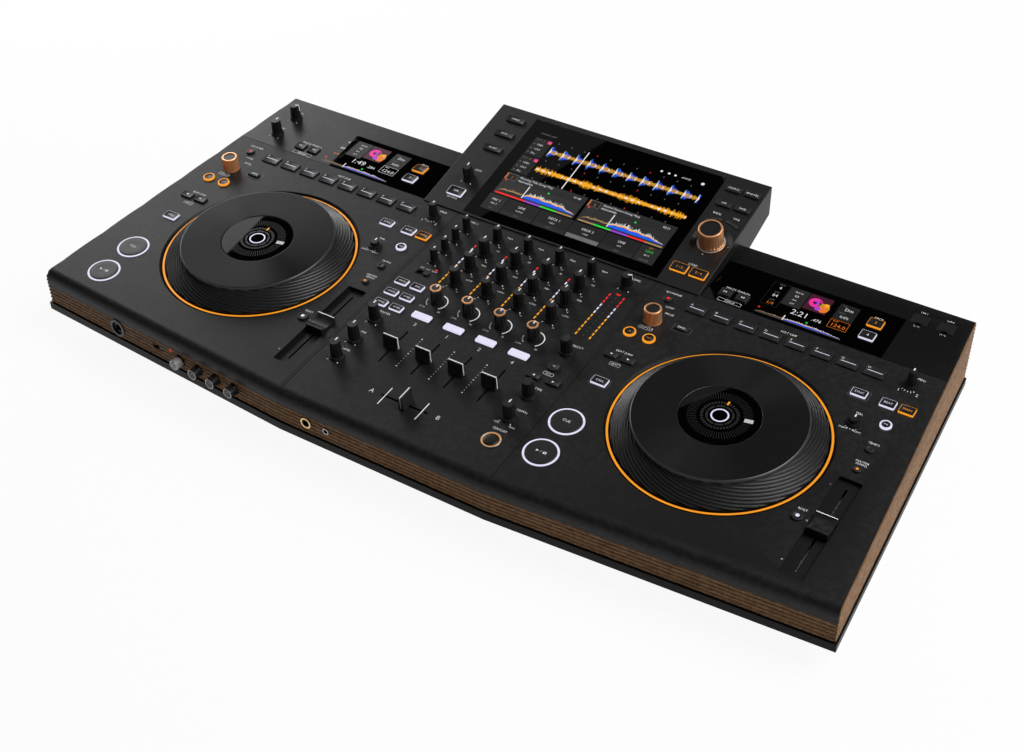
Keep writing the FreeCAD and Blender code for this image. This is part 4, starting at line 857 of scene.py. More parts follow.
# Mixer buttons
mixerCaps = shape()
cueBar = {"along": 138.1, "width": 18.4, "length": 7.2}
for across in channels["across"]:
    place = onDeck(across, cueBar["along"])
    made = keyShape(cueBar["width"], cueBar["length"], keyRise, "litWhite")
    addInto(mixerCaps, {**made, "marks": [min(mark, 1) for mark in made["marks"]]}, place)
    drawGap("mixerPrint", place, cueBar["width"], cueBar["length"])
selectorWords = (("SPACE", "DUB"), ("CRUSH", "SWEEP"), ("NOISE", "FILTER"))
for row, along in enumerate((168.7, 152.6, 136.7)):
    for column, across in enumerate((-93.2, -76.5)):
        addInto(mixerCaps, keyShape(12.4, 7.6, keyRise, "litWhite"), onDeck(across, along))
        drawGap("mixerPrint", onDeck(across, along), 12.4, 7.6)
        words = textShape(selectorWords[row][column], 1.7)
        draw("mixerButtonPrint", words, onDeck(across, along, keyInk), "litText")
for across, back in ((73.8, True), (92.5, False)):
    addInto(mixerCaps, keyShape(12.4, 7.0, keyRise, None), onDeck(across, 122.4), 0)
    draw("mixerButtonPrint", arrowShape(2.0, back), onDeck(across, 122.4, keyInk + 0.01), "line")
addInto(mixerCaps, roundShape(5.3, keyRise, None), onDeck(83.0, 139.2), 0)
draw("mixerButtonPrint", textShape("TAP", 1.3), onDeck(83.0, 139.2, keyInk + 0.01), "line")
onCap = stackedDisc(6.9, [(0, -3.0), (0, 0.5), (0.5, 0.9), (2.5, 1.3), (5.5, 1.4)])
addInto(mixerCaps, onCap, onDeck(*onButton), 2)
makePiece("mixerKeys", mixerCaps, capFinishes[:3], "mixer_buttons", ["mixer_buttons"])

# Mixer printing: words, across, along, capital height
mixerWords = [
    ("MIC 1", -83.6, 271.4, 1.7), ("OFF   ON   TALK", -82.2, 194.6, 1.2), ("MASTER", -82.4, 127.4, 1.6),
    ("MIX", -83.4, 97.6, 1.6), ("LEVEL", -83.0, 72.4, 1.6), ("LEVEL", 88.0, 271.0, 1.7),
    ("SELECT", 87.4, 170.6, 1.6), ("TIME", 85.6, 110.6, 1.6), ("DEPTH", 87.6, 82.0, 1.6),
    ("ON/OFF", 83.3, 55.6, 1.8), ("A", -34.0, 42.4, 3.2), ("B", 32.2, 42.4, 3.2),
    ("MIN", 75.8, 62.2, 1.3), ("MAX", 90.4, 62.2, 1.3),
]
mixerScale = 1.4
microphoneKnobs = {"across": -84.3, "along": (259.7, 241.8, 224.5, 207.1)}
phonesKnobs = {"across": -85.0, "along": (116.8, 87.0, 62.0)}


def printMixer(made, across, along, finishName="white"):
    draw("mixerPrint", made, onDeck(across, along, inkLift), finishName)


def knobTicks(across, along, radius, words=("", "")):
    for angle, text in ((232, words[0]), (308, words[1])):
        printMixer(tickShape(radius + 0.7, radius + 2.5, angle, 2.5), across, along)
        if text:
            turn, reach = math.radians(angle), radius + 5.0
            printMixer(textShape(text, 1.6), across + reach * math.cos(turn), along + reach * math.sin(turn))


for words, across, along, size in mixerWords:
    printMixer(textShape(words, size * mixerScale), across, along, "line")
printMixer(boxLine(9.6, 3.8, 0.3), 83.1, 130.4)
printMixer(textShape("BEAT", 1.4), 83.1, 130.4)
for number, across in zip(channels["numbers"], channels["across"]):
    printMixer(textShape(number, 3.8), across, 127.4)
    printMixer(textShape("TRIM", 1.9), across + 8.2, 267.4)
    knobTicks(across, channels["trim"], 5.3, ("", "+9"))
    for words, band in (("HI", "high"), ("MID", "mid"), ("LOW", "low")):
        printMixer(textShape(words, 2.0), across + 8.6, channels[band] + 8.8)
        knobTicks(across, channels[band], 6.9, ("-26", "+6"))
    for start, end in ((-52, 84), (180, 232)):
        printMixer(arcShape(9.0, 10.0, start, end), across, channels["colour"], "line")
    printMixer(textShape("LOW", 1.8), across - 8.4, 150.6)
    printMixer(textShape("HI", 1.8), across + 8.8, 150.6)
for across in (-33.7, -0.5, 32.6):
    for index in range(12):
        printMixer(dotShape(0.62 if index in (0, 5, 11) else 0.36), across, 76.8 + index * 3.43)
for across in (-20.7, 16.6):
    printMixer(bar(-0.5, 0.5, -10.6, 10.6), across, channels["crossfader"])
for knobs, radius in ((microphoneKnobs, 5.0), (phonesKnobs, 6.9)):
    for along in knobs["along"]:
        knobTicks(knobs["across"], along, radius)
knobTicks(*masterKnob, 6.8)
knobTicks(*depthKnob, 6.9)
for index in range(11):
    printMixer(textShape(str(abs(index * 3 - 18)), 1.6), 83.6, 186.0 + index * 5.45, "grey")
print("mixer built")

# Housing keys: across, along, width, length, rim finish, words
housingKeys = [
    (-120.9, 127.7, 19.8, 7.5, None, "WAVES"), (-120.9, 106.2, 19.8, 7.5, None, "PADS"),
    (-120.9, 84.8, 19.8, 7.5, None, "SHORT"), (-122.0, 21.0, 16.4, 10.7, "litWhite", "ON"),
    (115.6, 126.8, 15.4, 7.1, None, "SOURCE"), (134.3, 126.8, 14.8, 7.1, None, "BROWSE"),
    (115.6, 106.8, 15.4, 7.1, None, "LIST"), (134.3, 106.8, 14.8, 7.1, None, "TAGS"),
    (115.4, 21.2, 15.6, 10.2, "litAmber", "1 / 3"), (134.2, 21.2, 15.6, 10.2, "litAmber", "2 / 4"),
]
# Printed words on the housing: words, across, along, capital height
housingWords = [("LOAD", 124.6, 29.4, 1.8), ("BACK", 115.4, 94.2, 1.8), ("TAG", 134.4, 94.2, 1.8),
                ("SETTING", -122.0, 13.2, 1.6), ("SEND", -118.0, 54.0, 1.7)]
# Curved buttons behind the browse knob: a section of radius and height, swept between two angles
arcButton = {"section": ((25.0, -2.5), (25.0, 0.6), (25.2, 0.9), (28.0, 0.9), (28.2, 0.6), (28.2, -2.5)),
             "spans": ((56.3, 85.7), (95.3, 128.7)), "steps": 12}
housingCaps = shape()


def curvedButton(start, end):
    arc = shape()
    steps, corners = arcButton["steps"], len(arcButton["section"])
    for step in range(steps + 1):
        angle = math.radians(start + (end - start) * step / steps)
        for radius, height in arcButton["section"]:
            arc["points"].append((radius * math.cos(angle), radius * math.sin(angle), height))
    for step in range(steps):
        for low in range(step * corners, step * corners + corners - 1):
            arc["faces"].append([low, low + 1, low + corners + 1, low + corners])
    for first in (0, steps * corners):
        arc["faces"].append([first + k for k in range(corners)])
    arc["marks"] = [0] * len(arc["faces"])
    return arc


for across, along, width, length, rim, words in housingKeys:
    place = onHousing(across, along)
    addInto(housingCaps, withRim(keyShape(width, length, keyRise, rim), rim), place)
    drawGap("housingPrint", place, width, length)
    face = textShape(words, 2.5 if rim else 2.0)
    draw("housingButtonPrint", face, onHousing(across, along, keyInk), rim or "line")
for start, end in arcButton["spans"]:
    addInto(housingCaps, curvedButton(start, end), onHousing(*browseKnob))
makePiece("housingKeys", housingCaps, capFinishes, "screen_buttons", ["screen_buttons"])
for words, across, along, size in housingWords:
    draw("housingPrint", textShape(words, size * printScale), onHousing(across, along, inkLift), "line")
for angle in (0, 180, 270):
    draw("housingPrint", dotShape(0.8), onHousing(*browseKnob, -0.75) @ spun(angle) @ moved(17.2, 0), "line")
for angle in (232, 308):
    draw("housingPrint", tickShape(7.2, 9.2, angle, 2.5), onHousing(*sendKnob, inkLift), "white")
print("housing built")

# White pointers on the knobs. Knob sizes: radius at the foot, radius at the top, height
knobSizes = {"equaliser": (5.5, 4.6, 17.4), "colour": (5.6, 4.9, 16.2), "trim": (4.6, 3.9, 15.4),
             "microphone": (3.9, 3.2, 15.0), "effect": (5.6, 4.8, 16.0), "master": (5.6, 4.9, 12.8),
             "level": (5.5, 4.7, 15.8), "speed": (4.6, 3.5, 15.4), "feel": (4.4, 4.0, 5.8)}
pointer = {"half": 0.65, "lift": 0.24, "reach": 0.06, "drop": 0.5, "foot": 2.5}


def pointerShape(low, high, top):
    half, drop = pointer["half"], pointer["drop"]
    crown, edge = top + pointer["lift"], high + pointer["reach"]
    foot, footHeight = edge + (low - high) * drop, top - drop * (top - pointer["foot"])
    return {"points": [(-half, 0.25 * high, crown), (half, 0.25 * high, crown), (half, edge, crown),
                       (-half, edge, crown), (half, foot, footHeight), (-half, foot, footHeight)],
            "faces": [[0, 1, 2, 3], [3, 2, 4, 5]], "marks": [0, 0]}


def addPointer(style, place, sheetName="fixedPointers", turn=0.0):
    draw(sheetName, pointerShape(*knobSizes[style]), place @ spun(turn), "line")


def addColourRing(place, sheetName):
    high, top = knobSizes["colour"][1:]
    draw(sheetName, hoopShape(high + 0.08, high - 1.3, top + 0.22), place, "copper")
    draw(sheetName, turnedShape([(high + 0.1, top + 0.22), (high + 0.14, top - 0.9)], 48), place, "copper")


for number, across in zip(channels["numbers"], channels["across"]):
    addPointer("trim", onDeck(across, channels["trim"]))
    for band in ("high", "mid", "low"):
        addPointer("equaliser", onDeck(across, channels[band]), f"channel_{number}_{band}_knob")
    addPointer("colour", onDeck(across, channels["colour"]), f"channel_{number}_colour_knob")
    addColourRing(onDeck(across, channels["colour"]), f"channel_{number}_colour_knob")
for style, knobs in (("microphone", microphoneKnobs), ("equaliser", phonesKnobs)):
    for along in knobs["along"]:
        addPointer(style, onDeck(knobs["across"], along))
addPointer("master", onDeck(*masterKnob), turn=-72)
addPointer("effect", onDeck(*depthKnob))
addPointer("level", onHousing(*sendKnob))
for side in sideNames:
    addPointer("speed", onSide(side, *speedKnob))
    addPointer("feel", onSide(side, *feelKnob))
for along, turn in ((300.2, 0), (330.5, -72)):
    addPointer("level", onSide(-1, levelAcross, along), turn=turn)
# Front knobs: silver ring and line on the face, and a pale skin on the first
frontKnobs = {"x": (-220.3, -198.0, -176.8, -155.2), "z": 42.6}
for index, x in enumerate(frontKnobs["x"]):
    place = onFront(x, frontKnobs["z"])
    draw("fixedPointers", hoopShape(4.7, 4.15, 8.005), place, "silver")
    draw("fixedPointers", bar(-0.4, 0.4, 1.0, 4.1, 8.01), place, "line")
    if index == 0:
        skin = turnedShape([(5.08, 1.0), (4.95, 7.6), (4.7, 8.003), (0.2, 8.003)], 48)
        draw("fixedPointers", skin, place, "paleKnob")

# Copper knobs: black sunk top and a knurled band under the edge
copperKnobs = {"loop": (8.0, 7.6, 14.6), "browse": (11.4, 11.0, 16.4), "wall": 1.6, "recess": 0.8,
               "teeth": 60, "band": (0.86, 0.955), "valley": 0.05, "tooth": 0.34}


def copperExtras(kind, place, sheetName):
    low, high, top = copperKnobs[kind]
    face = dotShape(high - copperKnobs["wall"] - 0.02, 64, top - copperKnobs["recess"] + 0.05)
    draw(sheetName, face, place, "keyFace")
    band = shape()
    count = copperKnobs["teeth"] * 2
    for level in copperKnobs["band"]:
        radius = low + (high - low) * level
        for k in range(count):
            reach = radius + copperKnobs["tooth" if k % 2 else "valley"]
            angle = 2 * math.pi * k / count
            band["points"].append((reach * math.cos(angle), reach * math.sin(angle), top * level))
    band["faces"] = ringFaces(1, count)
    band["marks"] = [0] * count
    draw(sheetName, band, place, "copper")


for side, name in sideNames.items():
    copperExtras("loop", onSide(side, *loopKnob), f"{name}_loop_knob")
copperExtras("browse", onHousing(*browseKnob), "browse_knob")
draw("housingPrint", hoopShape(12.9, 11.6, -1.9, 64), onHousing(*browseKnob), "silver")

# Lines on the faders and tempo caps
faderLine = {"half": 7.25, "top": 13.65, "thick": 0.5, "foot": 1.0}
tempoLine = {"half": 8.65, "front": (8.3, 4.66), "back": (9.1, 4.62), "across": 112.0, "along": 87.8}


def faderLineShape():
    half, top, thick, foot = (faderLine[key] for key in ("half", "top", "thick", "foot"))
    corners = [(-half, -thick, top), (half, -thick, top), (half, thick, top), (-half, thick, top),
               (half, -thick, foot), (half, thick, foot), (-half, -thick, foot), (-half, thick, foot)]
    return {"points": corners, "faces": [[0, 1, 2, 3], [1, 4, 5, 2], [0, 3, 7, 6]], "marks": [0, 0, 0]}


def tempoLineShape():
    half, front, back = tempoLine["half"], tempoLine["front"], tempoLine["back"]
    return {"points": [(-half, *front), (half, *front), (half, *back), (-half, *back)],
            "faces": [[0, 1, 2, 3]], "marks": [0]}


for number, across in zip(channels["numbers"], channels["across"]):
    draw(f"channel_{number}_fader", faderLineShape(), onDeck(across, channels["fader"]), "line")
draw("crossfader", faderLineShape(), onDeck(0.9, channels["crossfader"]) @ spun(90), "line")
for side, name in sideNames.items():
    place = onSide(side, tempoLine["across"], tempoLine["along"])
    draw(f"{name}_tempo_slider", tempoLineShape(), place, "line")
print("pointers and lines built")

# Pictures on the jog centres
jogPicture = {"height": 15.34, "ring": (7.4, 6.1), "arcs": (9.6, 11.4), "ticks": (13.2, 15.6),
              "rays": (18.6, 26.0), "markAngle": 90, "markReach": 1.6, "gap": (5, 20), "stripeTurn": 12}


def buildJogPicture(side, name):
    sheetName = f"{name}JogPicture"
    place = onSide(side, 0, layout["jogAlong"], jogPicture["height"])
    draw(sheetName, hoopShape(*jogPicture["ring"], steps=64), place, "litWhite")
    for part in range(8):
        draw(sheetName, arcShape(*jogPicture["arcs"], part * 45 + 3, part * 45 + 42), place, "litDim")
    low, high = jogPicture["ticks"]
    for angle in range(0, 360, 10):
        marked = angle == jogPicture["markAngle"]
        tick = tickShape(low, high + (jogPicture["markReach"] if marked else 0), angle, 3.0)
        draw(sheetName, tick, place, "litYellow" if marked else "litDim")
    for angle in range(0, 360, 5):
        if not jogPicture["gap"][0] < angle < jogPicture["gap"][1]:
            draw(sheetName, tickShape(*jogPicture["rays"], angle, 0.55), place, "litDim")
    striped = place @ spun(jogPicture["stripeTurn"])
    for stripe in (-1.5, -0.5, 0.5, 1.5):
        draw(sheetName, bar(19.6, 26.8, stripe - 0.32, stripe + 0.32), striped, "litText")


for side, name in sideNames.items():
    buildJogPicture(side, name)


# Pictures on the screens: a waveform is a row of thin bars with a changing height
def waveBars(left, right, centre, heights, step):
    made = shape()
    for index, height in enumerate(heights):
        x = left + index * step
        if x > right:
            break
        addInto(made, bar(x, x + step * 0.96, centre - height, centre + height))
    return made


def beatShape(count, period, shares, peak, decay, rough):
    heights = []
    for index in range(count):
        phase = (index % period) / period
        inside = shares[0] <= phase < shares[1]
        fall = (phase - shares[0]) / (shares[1] - shares[0])
        heights.append(peak * math.exp(-decay * fall) * random.uniform(rough, 1.0) if inside else 0.0)
    return heights


screen = {"left": -68.2, "right": 92.0, "rowOne": 103.6, "rowTwo": 78.2, "playhead": -31.7, "step": 0.36,
          "waves": (64.6, 117.4), "beats": (116.2, 91.0, 66.0), "beatPitch": 14.2, "topWords": 122.4,
          "boxes": (13.5, 33.8), "boxEdges": (-91.3, -70.4, -35.0, 0.4, 35.8, 71.2, 92.1)}


def paint(made, finishName, out=0.0, across=0.0, along=0.0):
    draw("screenPicture", made, onHousing(across, along, inkLift + out), finishName)


def screenWords(words, size, across, along, finishName="litText", align="LEFT"):
    paint(textShape(words, size, align), finishName, 0.03, across, along)


def screenWave(heights, row, out, finishName):
    paint(waveBars(screen["left"], screen["right"], screen[row], heights, screen["step"]), finishName, out)


def buildWaves():
    count = int((screen["right"] - screen["left"]) / screen["step"])
    spikes = [1.3 + 2.0 * random.random() ** 2 for _ in range(count)]
    screenWave(beatShape(count, 40, (0.04, 0.60), 8.8, 1.3, 0.45), "rowOne", 0.0, "litBlue")
    screenWave(spikes, "rowOne", 0.005, "litOchre")
    screenWave(beatShape(count, 40, (0.0, 0.14), 6.8, 2.0, 0.8), "rowOne", 0.01, "litText")
    screenWave(beatShape(count, 20, (0.0, 0.16), 2.6, 2.0, 0.9), "rowOne", 0.01, "litText")
    spikes = [1.6 + 4.0 * random.random() ** 2 * (0.65 + 0.35 * math.sin(index * 0.05))
              for index in range(count)]
    screenWave(spikes, "rowTwo", 0.0, "litYellow")
    core = [0.5 + 1.0 * random.random() if math.sin(index * 0.33) + 0.6 * math.sin(index * 0.071) > 0.5
            else 0.0 for index in range(count)]
    screenWave(core, "rowTwo", 0.01, "litText")
    paint(bar(screen["playhead"] - 0.5, screen["playhead"] + 0.5, *screen["waves"]), "litText", 0.02)
    for index in range(11):
        x = -64.6 + index * screen["beatPitch"]
        finishName = "litRed" if index in (3, 7) else "litPale"
        for along in screen["beats"]:
            paint(bar(x - 0.35, x + 0.35, along - 0.8, along + 0.8), finishName, 0.01)


def buildInfoBox(low, high, number):
    paint(bar(-90.2, -71.4, low, high), "litBox")
    screenWords("DECK", 1.6, -88.4, high - 2.8, "litPale")
    screenWords(number, 2.2, -80.6, high - 3.0, "litOrange")
    paint(bar(-75.6, -71.8, high - 4.6, high - 0.8), "litPink", 0.01)
    paint(bar(-73.6, -71.8, high - 4.6, high - 2.4), "litOrange", 0.015)
    for row, words in enumerate(("USB" + number, "124.0", "Dm")):
        along = high - 9.0 - row * 6.0
        screenWords(words, 2.1, -84.2, along)
        paint(dotShape(0.8, 12), "litPale", 0.01, -87.4, along)


# Coloured phrases under each overview: finish and share of its length
phrases = {"1": (("litRed", 0.39), ("litPurple", 0.20), ("litGreen", 0.2), ("litTan", 0.21)),
           "2": (("litTan", 0.19), ("litGreen", 0.2), ("litPurple", 0.21), ("litRed", 0.2), ("litTan", 0.2))}
trackTitles = {"1": "Morning Tide (Long Mix)", "2": "Second Season (Long Mix)"}


def buildTrackPanel(left, right, number, clock):
    paint(bar(left, right, 54.6, 64.3), "litDim")
    paint(bar(left, right, 34.9, 54.6), "litBox")
    paint(bar(left + 0.6, left + 1.6, 55.2, 63.6), "litOrange", 0.01)
    paint(bar(left + 2.2, left + 12.6, 55.2, 63.6), "litPale", 0.01)
    paint(bar(left + 2.6, left + 12.2, 55.6, 63.2), "litBox", 0.015)
    screenWords(number, 3.0, left + 7.4, 58.6, "litOrange", "CENTER")
    screenWords(trackTitles[number], 2.5, left + 15.0, 61.6)
    screenWords("PERFORMER", 2.1, left + 15.0, 57.2)
    screenWords(clock, 2.4, right - 13.0, 59.6)
    paint(bar(left + 1, right - 1, 38.2, 54.2), "slit", 0.006)
    overview("screenPicture", left + 2.0, right - 2.0, 39.4, 11.5, onHousing(0, 0, inkLift + 0.01), 0.36)
    start = left + 2.0
    for finishName, share in phrases[number]:
        end = start + share * (right - left - 4.0)
        paint(bar(start, end, 35.8, 37.6), finishName, 0.02)
        start = end


def buildChannelBoxes():
    words = (("MIC 1", "MIC 2", "MIC"), ("LINE", "PHONO", "CH 3"), ("DECK 1", "USB A", "CH 1"),
             ("DECK 2", "USB B", "CH 2"), ("LINE", "AUX", "CH 4"), ("124.0", "50 %", "MASTER"))
    low, high = screen["boxes"]
    for index, (first, second, label) in enumerate(words):
        left, right = screen["boxEdges"][index] + 0.3, screen["boxEdges"][index + 1] - 0.3
        middle = (left + right) / 2
        chosen, outer = index == 3, index in (0, 5)
        paint(bar(left, right, low, high), "litDim" if outer else "litBox")
        paint(boxLine(right - left, high - low, 0.35, 0.6), "litDim", 0.005, middle, (low + high) / 2)
        screenWords(first, 2.6, middle, 27.4, "litGreen" if index == 5 else "litText", "CENTER")
        screenWords(second, 1.9 if outer else 1.5, middle, 22.4, "litText", "CENTER")
        paint(bar(left + 0.6, right - 0.6, 14.0, 18.6), "litPale" if chosen else "litDim", 0.01)
        screenWords(label, 1.9, middle, 16.3, "slit" if chosen else "litPale", "CENTER")
    screenWords("KEY", 1.7, 81.6, 31.6, "litOrange", "CENTER")


def buildScreen():
    buildWaves()
    buildInfoBox(91.8, 116.4, "1")
    buildInfoBox(66.2, 90.2, "2")
    buildTrackPanel(-90.2, -2.3, "1", "01:48")
    buildTrackPanel(0.4, 91.5, "2", "02:21")
    buildChannelBoxes()
    screenWords("WAVEFORM", 2.2, -88.6, screen["topWords"], "litPale")
    for across in (43.4, 51.2, 57.8):
        paint(dotShape(1.2, 20), "litText", 0.0, across, screen["topWords"])
    screenWords("00:00:00", 1.9, 64.4, screen["topWords"])
    paint(dotShape(1.8, 6), "litText", 0.0, 86.2, screen["topWords"])


# An overview is a whole track in thin bars, dimmer up to the point that has been played
def overview(sheetName, left, right, base, height, place, step):
    count = int((right - left) / step)
    playedShare = 0.33
    for index in range(count):
        x = left + index * step
        share = index / count
        played = share < playedShare
        rise = min(1.0, share / 0.07) if played else min(1.0, 0.35 + (share - playedShare) / 0.12)
        swell = (0.95 - 0.55 * abs(share - 0.42)) * (0.9 + 0.1 * math.sin(share * 40))
        body = (0.62 if played else 1.0) * rise * swell * min(1.0, (1 - share) * 4.5 + 0.12)
        bands = ((0.44, "litDim" if played else "litBlue"), (0.17, "litTan" if played else "litYellow"),
                 (0.04 + 0.4 * random.random() ** 3, "litTan" if played else "litText"))
        low = base
        for part, finishName in bands:
            high = low + height * body * part
            draw(sheetName, bar(x, x + step * 0.97, low, high), place, finishName)
            low = high
    head = left + playedShare * (right - left)
    line = bar(head - 0.5, head + 0.5, base - 0.5, base + height * 1.35)
    draw(sheetName, line, place @ moved(0, 0, 0.01), "litText")
    for share, finishName in ((0.02, "litRed"), (0.58, "litGreen")):
        spot = moved(left + share * (right - left), base + height * 1.3, 0.01)
        draw(sheetName, dotShape(1.0), place @ spot, finishName)


buildScreen()

# Artwork on the deck displays: blobs (across, along, radius) and swirl (inner, outer, start, end)
artBlobs = ((5.6, -2.6, 5.6, "litOchre"), (6.4, -4.6, 4.4, "litOrange"), (7.6, 1.4, 2.2, "litYellow"),
            (1.6, -5.6, 2.6, "litPurple"))
artSwirl = ((2.4, 6.0, 20, 320, "litPink"), (1.0, 3.0, -70, 130, "litPurple"),
            (4.0, 5.2, -50, 60, "litWine"), (0.2, 1.2, 0, 350, "litWine"))
# Texts that differ between the two displays: minutes, thousandths and the tempo's finish
displayTexts = {-1: ("1:49", ".284", "litText"), 1: ("2:21", ".476", "litOrange")}


def drawArt(name, art):
    for level, (across, along, radius, finishName) in enumerate(artBlobs):
        draw(name, dotShape(radius, 36), art @ moved(across, along, level * 0.002), finishName)
    for inner, outer, start, end, finishName in artSwirl:
        draw(name, arcShape(inner, outer, start, end), art @ moved(-2.6, 0.8, 0.01), finishName)


def buildDisplay(side, sideName):
    name = f"{sideName}DisplayPicture"
    here = onSide(side, 0, 0, inkLift)
    above = onSide(side, 0, 0, inkSecond)
    clock, thousandths, tempoFinish = displayTexts[side]

    def words(text, across, along, size, finishName="litText"):
        draw(name, textShape(text, size), onSide(side, across, along, 0.04), finishName)

    for low, label, text, finishName in ((318.1, "LOOP", "4", "litText"), (307.2, "JUMP", "64", "litText"),
                                         (296.3, "JUMP", "1/4", "litOrange")):
        words(text, -32.0, low + 3.4, 3.6, finishName)
        words(label, -32.0, low + 8.0, 1.5, "litPale")
    draw(name, boxLine(15.6, 32.0, 0.3, 0.6), onSide(side, -32.2, 312.2, inkLift), "litDim")
    draw(name, bar(-23.8, -6.2, 303.6, 328.2), here, "litDim")
    for row, text in enumerate(("TRACK", "03", "ALL", "LIST")):
        words(text, -15.0, 323.2 - row * 5.2, 2.6 if row == 1 else 1.7)
    draw(name, bar(-5.4, 15.6, 306.8, 328.2), here, "litWine")
    drawArt(name, here @ moved(5.1, 317.5, 0.01))
    draw(name, bar(22.0, 39.6, 307.4, 328.2), here, "litBox")
    words("KEY", 26.4, 326.0, 1.4, "litPale")
    words("Dm", 31.6, 322.0, 3.7)
    words("TEMPO", 27.4, 316.6, 1.4, "litPale")
    words("0.0%", 31.4, 311.6, 3.0)
    draw(name, boxLine(17.2, 11.4, 0.3, 0.5), onSide(side, 30.9, 300.7, inkLift), tempoFinish)
    words("BPM", 27.0, 304.2, 1.7, tempoFinish)
    words("124.0", 31.0, 299.0, 4.3, tempoFinish)
    words(clock, -3.4, 298.2, 6.6)
    words(thousandths, 12.6, 296.8, 3.6)
    overview(name, -39.3, 39.6, 285.0, 4.4, above, 0.4)
    draw(name, bar(-39.3, 39.6, 284.2, 284.6), above, "litPale")


for side, name in sideNames.items():
    buildDisplay(side, name)
print("pictures drawn")

# Sockets' faces and metal rings on the front: places as x, z
comboSocket, largeSocket, smallSocket = (-299.4, 43.2), (-73.7, 44.3), (-52.8, 44.6)
# Rings: place, outer and inner radius, steps, finish
socketRings = ((largeSocket, 5.2, 3.9, 48, "gold"), (largeSocket, 3.9, 3.3, 48, "slit"),
               (smallSocket, 3.0, 2.2, 32, "silver"), (smallSocket, 2.2, 1.9, 32, "slit"))
comboPlace = onFront(*comboSocket)
comboFace = turnedShape([(9.0, 0.86), (7.6, 0.86), (7.4, -1.2), (3.4, -1.2)], 64)
draw("frontPrint", comboFace, comboPlace, "socket")
draw("frontPrint", turnedShape([(7.5, 0.87), (6.4, 0.87)], 64), comboPlace, "grey")
for angle in (30, 150, 270):
    draw("frontPrint", dotShape(1.3, 20, -1.15), comboPlace @ spun(angle) @ moved(4.2, 0), "slit")
for where, outer, inner, steps, finishName in socketRings:
    draw("frontPrint", hoopShape(outer, inner, 0.84, steps), onFront(*where), finishName)

bodyOfSheet = {"mixerButtonPrint": "mixer_buttons", "housingButtonPrint": "screen_buttons"}
for name in sideNames.values():
    bodyOfSheet.update({f"{name}ButtonPrint": f"{name}_deck_buttons",
                        f"{name}PadPrint": f"{name}_hot_cue_pads",
                        f"{name}CuePrint": f"{name}_cue_button", f"{name}PlayPrint": f"{name}_play_button"})


for sheetName, made in sheets.items():
    isNode = sheetName in nodes
    body = bodyOfSheet.get(sheetName, sheetName if isNode else "console")
    used = sorted(set(made["marks"]))
    made["marks"] = [used.index(mark) for mark in made["marks"]]
    makePiece(sheetName + "Lines" if isNode else sheetName, made, [sheetFinishes[mark] for mark in used],
              body)
print(len(sheets), "printed sheets built")

# Floor, lights and camera, in metres
studio = {"halfFloor": 4.0, "paper": 0.93, "worldStrength": 0.03, "backdropTop": (0.1, 0.24)}
# Lamps: power, size, place, direction it faces, direction of its long edge
softboxes = {
    "backLeft": (18.0, (1.5, 0.8), (-1.46, 0.90, 0.81), (0.653, 0.245, -0.716), (-0.205, 0.958, 0.20)),
    "overhead": (54.0, (1.5, 1.5), (1.35, 0.40, 1.95), (-0.572, -0.169, -0.805), (0.0, 1.0, 0.0)),
    "rightSide": (4.0, (1.0, 0.8), (1.90, -0.20, 0.70), (-0.94, 0.10, -0.32), (0.0, 1.0, 0.0)),
    "screenCard": (0.34, (0.45, 0.3), (-0.734, 0.713, 1.061), (0.445, -0.392, -0.805),
                   (-0.489, -0.867, -0.091)),
    "rightCard": (0.16, (0.16, 0.3), (-0.285, 0.786, 0.961), (0.312, -0.594, -0.741),
                  (-0.628, -0.774, 0.086)),
}
# The photo's camera: its place, its axes, its focal length in picture widths of so many pixels
photoCamera = {
    "place": (0.605188, -0.928667, 0.893310), "right": (0.84227083, 0.53889016, -0.01331331),
    "down": (0.33345296, -0.54026532, -0.77260761), "ahead": (-0.42354335, 0.64630549, -0.63474424),
    "sensor": 36.0, "focal": 1560.716, "pixels": 1024, "near": 0.05, "far": 50,
}


def seenBy(tree, mirrorShare=None):
    path = tree.nodes.new("ShaderNodeLightPath")
    mirrored = mathOf(tree, "MAXIMUM", path.outputs["Is Glossy Ray"], path.outputs["Is Transmission Ray"])
    if mirrorShare is not None:
        mirrored = mathOf(tree, "MULTIPLY", mirrored, mirrorShare)
    return mathOf(tree, "MAXIMUM", path.outputs["Is Camera Ray"], mirrored)


def mixInto(tree, share, first, second, surface):
    mixer = tree.nodes.new("ShaderNodeMixShader")
    for index, value in enumerate((share, first.outputs[0], second.outputs[0])):
        feed(tree, mixer.inputs[index], value)
    feed(tree, surface, mixer.outputs[0])


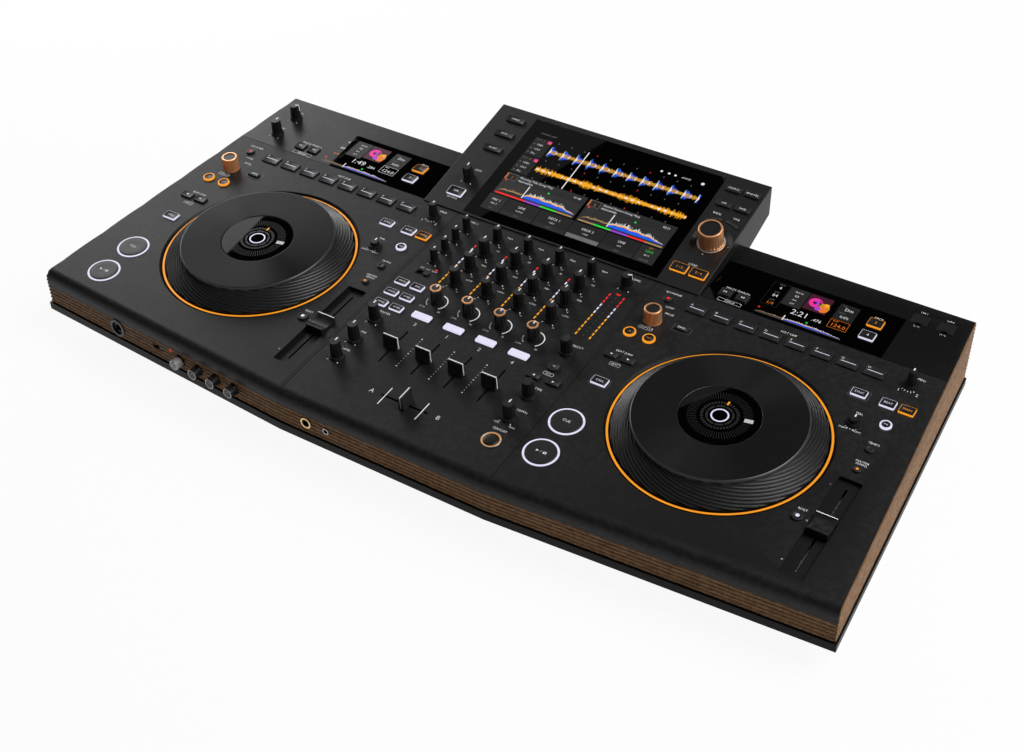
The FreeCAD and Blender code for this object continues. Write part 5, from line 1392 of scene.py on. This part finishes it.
def buildFloor():
    mesh = bpy.data.meshes.new("studioFloor")
    half = studio["halfFloor"]
    mesh.from_pydata([(-half, -half, 0), (half, -half, 0), (half, half, 0), (-half, half, 0)], [],
                     [(0, 1, 2, 3)])
    floor = bpy.data.objects.new("studioFloor", mesh)
    bpy.context.scene.collection.objects.link(floor)
    material, tree, shader = newMaterial("studioPaper")
    fill(tree, shader, Base_Color=(0.86, 0.86, 0.86, 1), Roughness=0.9)
    glow = fill(tree, tree.nodes.new("ShaderNodeEmission"), Color=(1, 1, 1, 1))
    share = mathOf(tree, "MULTIPLY", seenBy(tree), studio["paper"])
    mixInto(tree, share, shader, glow, tree.nodes["Material Output"].inputs["Surface"])
    mesh.materials.append(material)


def buildWorld():
    world = bpy.data.worlds.new("studioAir")
    bpy.context.scene.world = world
    world.use_nodes = True
    tree = world.node_tree
    soft = fill(tree, tree.nodes["Background"], Color=(0.9, 0.92, 0.95, 1), Strength=studio["worldStrength"])
    white = fill(tree, tree.nodes.new("ShaderNodeBackground"), Color=(1, 1, 1, 1))
    split = tree.nodes.new("ShaderNodeSeparateXYZ")
    feed(tree, split.inputs[0], tree.nodes.new("ShaderNodeTexCoord").outputs["Generated"])
    backdrop = rangeOf(tree, split.outputs["Z"], *studio["backdropTop"], 1.0, 0.0)
    mixInto(tree, seenBy(tree, backdrop), soft, white, tree.nodes["World Output"].inputs["Surface"])


def addLamp(name, power, size, where, facing, along):
    light = bpy.data.lights.new(name, "AREA")
    light.energy = power
    light.shape = "RECTANGLE"
    light.size, light.size_y = size
    lamp = bpy.data.objects.new(name, light)
    back = -Vector(facing).normalized()
    side = (Vector(along) - back * back.dot(Vector(along))).normalized()
    turned = Matrix((side, back.cross(side), back)).transposed().to_4x4()
    lamp.matrix_world = Matrix.Translation(where) @ turned
    bpy.context.scene.collection.objects.link(lamp)


def buildCamera():
    camera = bpy.data.cameras.new("photoCamera")
    camera.sensor_fit = "HORIZONTAL"
    camera.sensor_width = photoCamera["sensor"]
    camera.lens = photoCamera["sensor"] * photoCamera["focal"] / photoCamera["pixels"]
    camera.clip_start, camera.clip_end = photoCamera["near"], photoCamera["far"]
    holder = bpy.data.objects.new("photoCamera", camera)
    right, down, ahead = (Vector(photoCamera[key]) for key in ("right", "down", "ahead"))
    turned = Matrix((right, -down, -ahead)).transposed().to_4x4()
    holder.matrix_world = Matrix.Translation(photoCamera["place"]) @ turned
    bpy.context.scene.collection.objects.link(holder)
    bpy.context.scene.camera = holder


buildFloor()
buildWorld()
for name, settings in softboxes.items():
    addLamp(name, *settings)
buildCamera()
bpy.context.scene.view_settings.view_transform = "Standard"
print("scene ready")
